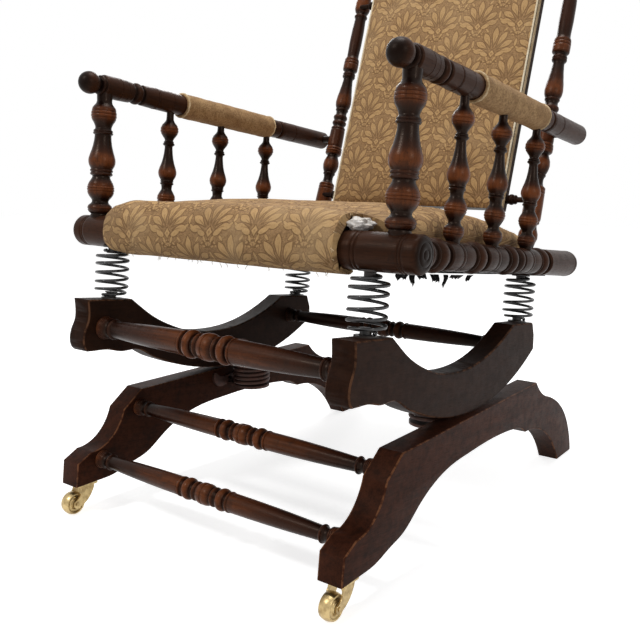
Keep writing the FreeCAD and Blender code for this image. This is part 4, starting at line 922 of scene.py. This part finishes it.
def buildSeat():
    s = seat
    work = bmesh.new()
    uv = {}
    ry, rz = s["railY"], s["railZ"]
    near = 1e-9
    wallY = ry + s["behind"]
    xs = []
    for a, b in ((-s["half"], s["rollFrom"]), (s["rollFrom"], s["rollTo"]), (s["rollTo"], s["half"])):
        count = max(2, int(round((b - a) / s["step"])))
        xs += [a + (b - a) * k / count for k in range(count)]
    xs.append(s["half"])
    under = [(s["backY"], rz + s["notchZ"]), (s["notchY"], rz + s["notchZ"]), (s["notchY"], s["floor"]),
             (0.0, s["floor"]), (-150 * mm, s["floor"]), (wallY, s["floor"])]

    def vert(x, y, z, flat):
        v = work.verts.new(level(x, y, z))
        uv[v] = flat
        return v

    topRows, rollRows, wallRows = [], [], []
    for x in xs:
        roll, top = seatLine(x)
        # the flat measure starts where the roll comes furthest forward
        foremost = min(roll, key=lambda p: p[0])[1]
        start = sum(math.dist(a, b) for a, b in zip(roll, roll[1:]))
        middleRun = sum(math.dist(a, b) for a, b in zip(roll, roll[1:]) if b[1] < foremost)
        u = x - s["fanAcross"]
        begin = start - middleRun - s["fanHeight"] - (x - s["fanFrom"]) * s["fanClimb"]
        run = begin
        row = []
        for n, (y, z) in enumerate(top):
            if n:
                run += math.dist(top[n - 1], top[n])
            share = min(1.0, (s["half"] - abs(x)) / (40 * mm), (len(top) - 1 - n) / 6)
            row.append(vert(x, y, z + seatRelief(x, y, z, share), (u, run)))
        for y, z in under:
            row.append(vert(x, y, z, (u, run + 0.02)))
        topRows.append(row)
        wall = None
        if x <= s["rollFrom"] + near or x >= s["rollTo"] - near:
            wall = [vert(x, wallY, top[0][1] * (1 - w) + s["floor"] * w, (u, begin - 0.01 * w))
                    for w in (0.25, 0.5, 0.75)]
        wallRows.append(wall)
        if not s["rollFrom"] - near <= x <= s["rollTo"] + near:
            continue
        line = []
        run = begin
        for n in range(len(roll) - 2, -1, -1):
            y, z = roll[n]
            run -= math.dist(roll[n], roll[n + 1])
            away = Vector((y - ry, z - rz)).normalized()
            share = min(1.0, n / 5, (len(roll) - n) / 6, (x - s["rollFrom"]) / (20 * mm) + 0.05)
            lift = seatRelief(x, y, z, share) + 0.4 * mm * share * math.sin(z * 520)
            line.append(vert(x, y + away.x * lift, z + away.y * lift, (u, run)))
        # the bore that lies round the rail
        first = math.atan2(roll[0][1] - rz, roll[0][0] - ry)
        last = math.atan2(s["floor"] - rz, s["behind"]) - 2 * math.pi
        for k in range(s["boreSteps"] + 1):
            a = first + (last - first) * k / s["boreSteps"]
            reach = s["bore"] if k < s["boreSteps"] else s["bore"] + 0.6 * mm
            line.append(vert(x, ry + reach * math.cos(a), rz + reach * math.sin(a), (u, run - 0.01)))
        rollRows.append((len(topRows) - 1, [row[0], *line, row[-1]]))

    def join(one, two):
        for n in range(len(one) - 1):
            work.faces.new((one[n + 1], one[n], two[n], two[n + 1]))

    for a, b in zip(topRows, topRows[1:]):
        join(b, a)
    for n in range(len(xs) - 1):
        if xs[n + 1] <= s["rollFrom"] + near or xs[n] >= s["rollTo"] - near:
            join(*([topRows[k][0], *wallRows[k], topRows[k][-1]] for k in (n, n + 1)))
    for (i, a), (j, b) in zip(rollRows, rollRows[1:]):
        join(a, b)
    for n, line in (rollRows[0], rollRows[-1]):
        work.faces.new([*line, *reversed(wallRows[n])])
    for n in (0, -1):
        work.faces.new([*topRows[n], *reversed(wallRows[n])])
    bmesh.ops.triangulate(work, faces=[f for f in work.faces if len(f.verts) > 4])
    bmesh.ops.recalc_face_normals(work, faces=work.faces)
    work.verts.index_update()
    flats = [uv[v] for v in work.verts]
    mesh = meshFrom(work, "seat_cushion")
    giveCloth(mesh, flats)
    cushion = newPiece("seat_cushion", mesh, jacquard("seat_jacquard", s["worn"]), "seat", ["seat_pad"])
    mesh.set_sharp_from_angle(angle=math.radians(50))


buildSeat()
print("seat cushion done")

back = {
    "half": 179.0 * mm, "low": -15.6 * mm, "high": 494.0 * mm, "face": -30.0 * mm, "across": 56, "up": 84,
    "swell": 10.0 * mm, "edge": 6.0 * mm, "dent": 0.9 * mm,
    "skew": 0.05, "fanAcross": 60.6 * mm, "fanHeight": -3.0 * mm,
    "worn": {"dirt": 0.22, "fade": 0.20, "pulled": 4.0, "clear": 0.80},
}


def buildBack():
    b = back

    def placeAt(u, v):
        return b["half"] * (2 * u - 1), b["low"] + (b["high"] - b["low"]) * v

    def pointAt(u, v, layer):
        x, h = placeAt(u, v)
        if layer:
            return onBack(x, b["face"] - 0.4 * mm, h)
        fullX = (1 - abs(2 * u - 1) ** 5) ** 0.5
        fullZ = (1 - abs(2 * v - 1) ** 9) ** 0.5
        lift = b["edge"] * (0.25 + 0.75 * min(fullX, fullZ))
        lift += b["swell"] * fullX * fullZ * (1 - 0.35 * (2 * u - 1) ** 2)
        lift += b["dent"] * ripple(x, h, 5.5, 14) * min(fullX, fullZ)
        return onBack(x, b["face"] - lift, h)

    def flatAt(u, v):
        x, h = placeAt(u, v)
        return x - b["fanAcross"] - b["skew"] * h, h - b["fanHeight"]

    mesh = slab("back_panel", b["across"], b["up"], pointAt, flatAt=flatAt)
    panel = newPiece("back_panel", mesh, jacquard("back_jacquard", b["worn"]), "seat", ["back_pad"])
    mesh.set_sharp_from_angle(angle=math.radians(50))


buildBack()
print("back panel done")

# Tape and cord along the back's edges, nailed over the stiles
gimpCloth = plainCloth("gimp_cloth", (0.46, 0.33, 0.18), (0.66, 0.51, 0.32), (0.22, 0.13, 0.06))
cordCloth = plainCloth("cord_cloth", (0.62, 0.52, 0.36), (0.74, 0.66, 0.50), (0.40, 0.30, 0.18))
trim = {"tapeWide": 9.5 * mm, "tapeThick": 1.3 * mm, "tapeFrom": -29.0 * mm, "tapeSteps": 260,
        "cord": 1.9 * mm, "cordX": 180.0 * mm, "cordOut": 1.2 * mm, "cordSteps": 252,
        "side": 182.0 * mm, "low": -15.0 * mm, "high": 494.0 * mm}


def edgeTape(side, sign):
    # a flat tape on the frame's side, just behind the cord
    verts = []
    for n in range(trim["tapeSteps"] + 1):
        h = trim["low"] + (trim["high"] - trim["low"]) * n / trim["tapeSteps"]
        wave = 0.5 * mm * math.sin(n * 2.1)
        for k in range(7):
            t = k / 6
            depth = trim["tapeFrom"] + trim["tapeWide"] * t + (wave if k in (0, 6) else 0)
            lift = trim["tapeThick"] * (0.35 + 0.65 * math.sin(math.pi * t))
            lift += 0.22 * mm * math.sin(n * 2.1 + k * 1.6)
            verts.append(onBack(sign * (trim["side"] + lift), depth, h))
        for depth in (trim["tapeFrom"] + trim["tapeWide"], trim["tapeFrom"]):
            verts.append(onBack(sign * (trim["side"] + 0.1 * mm), depth, h))
    name = "back_tape_" + side
    newPiece(name, ringedMesh(name, verts, 9), gimpCloth, "seat", [])


def edgeCord(side, sign):
    points = []
    for n in range(trim["cordSteps"] + 1):
        h = trim["low"] + (trim["high"] - trim["low"]) * n / trim["cordSteps"]
        points.append(onBack(sign * trim["cordX"], back["face"] - trim["cordOut"], h))
    radii = [trim["cord"] * (1 + 0.14 * math.sin(n * 2.4)) for n in range(len(points))]
    name = "back_cord_" + side
    newPiece(name, tube(name, points, radii), cordCloth, "seat", [])


for side, sign in (("left", 1), ("right", -1)):
    edgeTape(side, sign)
    edgeCord(side, sign)


# Cloth sleeves on the arms
sleeveCloth = plainCloth("sleeve_cloth", (0.300, 0.180, 0.086), (0.420, 0.266, 0.130), (0.155, 0.086, 0.038),
                         curly=0.6)
sleeve = {"x": 277.0 * mm, "z": 639.0 * mm, "front": -168.0 * mm, "long": 238.0 * mm,
          "radius": 20.6 * mm, "inner": 17.4 * mm, "drawnIn": 1.6 * mm, "seam": 0.9 * mm, "seamAt": 262,
          "tape": 1.5 * mm, "tapeIn": 3.0 * mm, "around": 56, "along": 90}


def armSleeve(side, sign):
    s = sleeve
    around, along = s["around"], s["along"]
    work = bmesh.new()

    def spotAt(r, a, run):
        return level(sign * s["x"] + r * math.cos(a), s["front"] + run, s["z"] + r * math.sin(a))

    rings = []
    for shell in (0, 1):
        for n in range(along + 1):
            t = n / along
            puff = 1 - math.exp(-min(t, 1 - t) * s["long"] / (5 * mm))
            ring = []
            for k in range(around):
                a = 2 * math.pi * k / around
                r = s["radius"] - s["drawnIn"] * (1 - puff)
                r += 0.55 * mm * ripple(a * 0.02 + 1, t * 0.24, 2.0 + sign, 60) * puff
                r += 0.25 * mm * ripple(math.cos(a), t * 8, 4.0 + sign, 2) * puff
                # the seam lies underneath
                r += s["seam"] * math.exp(-((math.degrees(a) - s["seamAt"]) / 7) ** 2) * puff
                ring.append(work.verts.new(spotAt(s["inner"] if shell else r, a, t * s["long"])))
            rings.append(ring)
    pairs = [(shell * (along + 1) + n, shell * (along + 1) + n + 1) for shell in (0, 1) for n in range(along)]
    for m, n in pairs + [(0, along + 1), (along, 2 * along + 1)]:
        a, b = rings[m], rings[n]
        for k in range(around):
            j = (k + 1) % around
            work.faces.new((a[k], a[j], b[j], b[k]))
    bmesh.ops.recalc_face_normals(work, faces=work.faces)
    name = "arm_sleeve_" + side
    thing = newPiece(name, meshFrom(work, name), sleeveCloth, "seat", ["arm_pad_" + side])
    # narrow tapes round both ends
    for word, run in (("front", s["tapeIn"]), ("rear", s["long"] - s["tapeIn"])):
        points = []
        for k in range(121):
            r = s["radius"] - 0.6 * mm + 0.3 * mm * math.sin(k * 1.7)
            points.append(spotAt(r, 2 * math.pi * k / 120, run + 0.5 * mm * math.sin(k * 0.7)))
        newPiece("sleeve_tape_%s_%s" % (word, side), tube("sleeve_tape", points, s["tape"], 8), gimpCloth,
                 "seat", [])


armSleeve("left", 1)
armSleeve("right", -1)
print("sleeves done")

# Wadding at the torn corner, loose threads, and the black cloth below the seat
waddingCloth = plainCloth("wadding_fibre", (0.62, 0.60, 0.58), (0.80, 0.76, 0.70), (0.50, 0.40, 0.30),
                          scale=0.6, sheen=0.4)
tuft = {"middle": (212.0 * mm, seat["railY"] + 9.0 * mm, seat["railZ"] + 32.0 * mm),
        "half": (21.0 * mm, 15.0 * mm, 8.5 * mm), "lumps": ((2.1, 0.28), (5.3, 0.14), (13, 0.05))}


def wadding():
    work = bmesh.new()
    bmesh.ops.create_icosphere(work, subdivisions=5, radius=1.0)
    for v in work.verts:
        lump = 1 + sum(deep * noise.noise(v.co * scale) for scale, deep in tuft["lumps"])
        v.co = level(*(m + c * half * lump for m, c, half in zip(tuft["middle"], v.co, tuft["half"])))
    thing = newPiece("wadding_tuft", meshFrom(work, "wadding_tuft"), waddingCloth, "seat", ["seat_wadding"])


wadding()
random.seed(12)
threads = {"count": 34, "radius": 0.35 * mm, "shortest": 1.5, "longest": 6.0}


def looseThreads():
    # every third hangs at the torn end, the others along the lower edge of the roll
    meshes = []
    for n in range(threads["count"]):
        x = random.uniform(seat["rollFrom"] + 20 * mm, seat["rollTo"] - 4 * mm)
        if n % 3 == 0:
            x = seat["rollTo"] - random.uniform(0, 2) * mm
        long = random.uniform(threads["shortest"], threads["longest"]) * mm
        roll, top = seatLine(x)
        start = roll[random.randint(1, 8)] if n % 3 else roll[random.randint(4, 40)]
        if n % 3:
            drift = Vector((random.uniform(-0.6, 0.6), random.uniform(-0.5, 0.5), -1))
        else:
            drift = Vector((1.0, random.uniform(-0.7, 0.1), random.uniform(-1, 0.3)))
        p = level(x, start[0], start[1])
        points = []
        for k in range(7):
            t = k / 6
            points.append(p + drift.normalized() * long * t + Vector((
                0.8 * mm * math.sin(t * 5 + n), 0.8 * mm * math.cos(t * 4 + n), -1.2 * mm * t * t)))
        meshes.append(tube("thread", points, threads["radius"], 5))
    joined = bmesh.new()
    for mesh in meshes:
        joined.from_mesh(mesh)
        bpy.data.meshes.remove(mesh)
    newPiece("frayed_threads", meshFrom(joined, "frayed_threads"), gimpCloth, "seat", [])


looseThreads()
blackCloth = plainCloth("black_lining", (0.010, 0.009, 0.009), (0.022, 0.019, 0.018), (0.004, 0.004, 0.004),
                        sheen=0.1)
lining = {"half": 220.0 * mm, "front": -302.0 * mm, "rear": 197.0 * mm, "z": 388.6 * mm,
          "thick": 0.8 * mm, "sag": 5.0 * mm, "wave": 0.8 * mm}
scraps = {
    "x": 262.0, "top": 388.0, "thick": 0.6 * mm, "cols": 10, "rows": 8,
    # torn strips in mm: middle, width, length
    "strips": ((-288, 34, 9), (-262, 16, 17), (-240, 30, 8), (-205, 26, 12), (-176, 12, 18), (-140, 40, 7),
               (-96, 20, 10)),
}
rearCloth = {"half": 172.0 * mm, "low": -10.0 * mm, "high": 490.0 * mm, "depth": -5.8 * mm,
             "thick": 1.2 * mm, "bow": 0.9 * mm, "wave": 0.4 * mm}


def liningSheet():
    b = lining

    def pointAt(u, v, layer):
        x, y = b["half"] * (2 * u - 1), b["front"] + (b["rear"] - b["front"]) * v
        drop = b["sag"] * (1 - (2 * u - 1) ** 4) * (1 - (2 * v - 1) ** 4) + b["wave"] * ripple(x, y, 9.0, 22)
        return level(x, y, b["z"] - drop - layer * b["thick"])

    thing = newPiece("lining_sheet", slab("lining_sheet", 64, 72, pointAt), blackCloth, "seat",
                     ["bottom_cloth"])


def liningScraps():
    # they hang below the side rail on the sitter's left
    joined = bmesh.new()
    cols, rows = scraps["cols"], scraps["rows"]
    for n, (middle, wide, long) in enumerate(scraps["strips"]):
        grid = []
        for j in range(rows + 1):
            t = j / rows
            line = []
            for i in range(cols + 1):
                ragged = 0.55 + 0.9 * abs(noise.noise(Vector((i * 0.9, n * 3.3, 1.5))))
                x = scraps["x"] - 3 * math.sin(t * 2.2 + n) + 1.5 * math.sin(i * 1.3 + n)
                y = middle + wide * (i / cols - 0.5) * (1 - 0.3 * t)
                line.append(joined.verts.new(level(x * mm, y * mm, (scraps["top"] - long * t * ragged) * mm)))
            grid.append(line)
        for j in range(rows):
            for i in range(cols):
                joined.faces.new((grid[j][i], grid[j][i + 1], grid[j + 1][i + 1], grid[j + 1][i]))
    bmesh.ops.solidify(joined, geom=joined.faces[:], thickness=scraps["thick"])
    newPiece("lining_scraps", meshFrom(joined, "lining_scraps"), blackCloth, "seat", [])


def rearSheet():
    # outer cloth on the rear of the back
    b = rearCloth

    def pointAt(u, v, layer):
        x, h = b["half"] * (2 * u - 1), b["low"] + (b["high"] - b["low"]) * v
        bow = b["bow"] * (1 - (2 * u - 1) ** 4) * (1 - (2 * v - 1) ** 4) + b["wave"] * ripple(x, h, 6.0, 18)
        return onBack(x, b["depth"] + bow + (1 - layer) * b["thick"], h)

    linen = plainCloth("backing_linen", (0.210, 0.150, 0.085), (0.285, 0.215, 0.130), (0.120, 0.080, 0.045),
                       scale=0.8)
    thing = newPiece("rear_sheet", slab("rear_sheet", 40, 60, pointAt, flip=True), linen, "seat",
                     ["back_cloth"])


liningSheet()
liningScraps()
rearSheet()
print("cloths done")


# Camera, lights and floor
seen = {"place": (0.7541, -1.1197, 0.5253), "azimuth": 36.25, "down": 9.915, "roll": 0.745,
        "focalPixels": 785.8, "middleRow": 317.26, "imageSide": 640.0, "sensor": 36.0}
lamps = {
    "key": {"at": (-0.75, -2.0, 2.15), "aim": (0, 0, 0.45), "size": (0.28, 0.28), "watts": 24},
    "side": {"at": (2.1, -0.9, 1.35), "aim": (0, 0, 0.45), "size": (0.25, 0.5), "watts": 10},
    "above": {"at": (0.0, 0.1, 2.7), "aim": (0, 0, 0.4), "size": (1.0, 1.0), "watts": 36},
    "rim": {"at": (-1.6, 1.6, 1.7), "aim": (0, 0, 0.5), "size": (0.7, 0.7), "watts": 10},
}
room = {"world": 0.29, "floor": (0.80, 0.80, 0.80, 1), "floorGlow": 0.74, "reach": 9.0}


def cameraAt():
    data = bpy.data.cameras.new("view")
    data.sensor_width = seen["sensor"]
    data.lens = seen["sensor"] * seen["focalPixels"] / seen["imageSide"]
    data.shift_y = (seen["middleRow"] - seen["imageSide"] / 2) / seen["imageSide"]
    camera = bpy.data.objects.new("view", data)
    bpy.context.scene.collection.objects.link(camera)
    turn, down, roll = (math.radians(seen[word]) for word in ("azimuth", "down", "roll"))
    ahead = Vector((-math.sin(turn) * math.cos(down), math.cos(turn) * math.cos(down), -math.sin(down)))
    across = Vector((math.cos(turn), math.sin(turn), 0))
    up = across.cross(ahead)
    right = across * math.cos(roll) + up * math.sin(roll)
    above = up * math.cos(roll) - across * math.sin(roll)
    rows = [(right[n], above[n], -ahead[n], seen["place"][n]) for n in range(3)]
    camera.matrix_world = Matrix((*rows, (0, 0, 0, 1)))
    bpy.context.scene.camera = camera


def softLamp(name, lamp):
    data = bpy.data.lights.new(name, "AREA")
    data.shape = "RECTANGLE"
    data.size, data.size_y = lamp["size"]
    data.energy = lamp["watts"]
    thing = bpy.data.objects.new(name, data)
    bpy.context.scene.collection.objects.link(thing)
    thing.location = lamp["at"]
    thing.rotation_euler = (Vector(lamp["aim"]) - Vector(lamp["at"])).to_track_quat("-Z", "Y").to_euler()


def seenStraight(tree):
    # 1 where the eye meets a white background, also in a reflection or through glass
    path = tree.nodes.new("ShaderNodeLightPath")
    straight = larger(tree, path.outputs["Is Camera Ray"], path.outputs["Is Transmission Ray"])
    return larger(tree, straight, path.outputs["Is Glossy Ray"])


def studio():
    for name, lamp in lamps.items():
        softLamp(name, lamp)
    world = bpy.data.worlds.new("studio")
    bpy.context.scene.world = world
    world.use_nodes = True
    tree = world.node_tree
    background = tree.nodes["Background"]
    background.inputs["Color"].default_value = (1, 1, 1, 1)
    feed(tree, background.inputs["Strength"], larger(tree, seenStraight(tree), room["world"]))


def floorPlane():
    reach = room["reach"]
    mesh = meshOf("studio_floor", [(-reach, -reach, 0), (reach, -reach, 0), (reach, reach, 0),
                                   (-reach, reach, 0)], [(0, 1, 2, 3)])
    floor = bpy.data.objects.new("studio_floor", mesh)
    bpy.context.scene.collection.objects.link(floor)
    material, tree, shader = newMaterial("studio_floor")
    shader.inputs["Base Color"].default_value = room["floor"]
    shader.inputs["Roughness"].default_value = 0.9
    shader.inputs["Specular IOR Level"].default_value = 0.1
    shader.inputs["Emission Color"].default_value = (1, 1, 1, 1)
    feed(tree, shader.inputs["Emission Strength"], times(tree, seenStraight(tree), room["floorGlow"]))
    mesh.materials.append(material)


cameraAt()
studio()
floorPlane()
bpy.context.scene.view_settings.view_transform = "Standard"
print("camera and lights done")
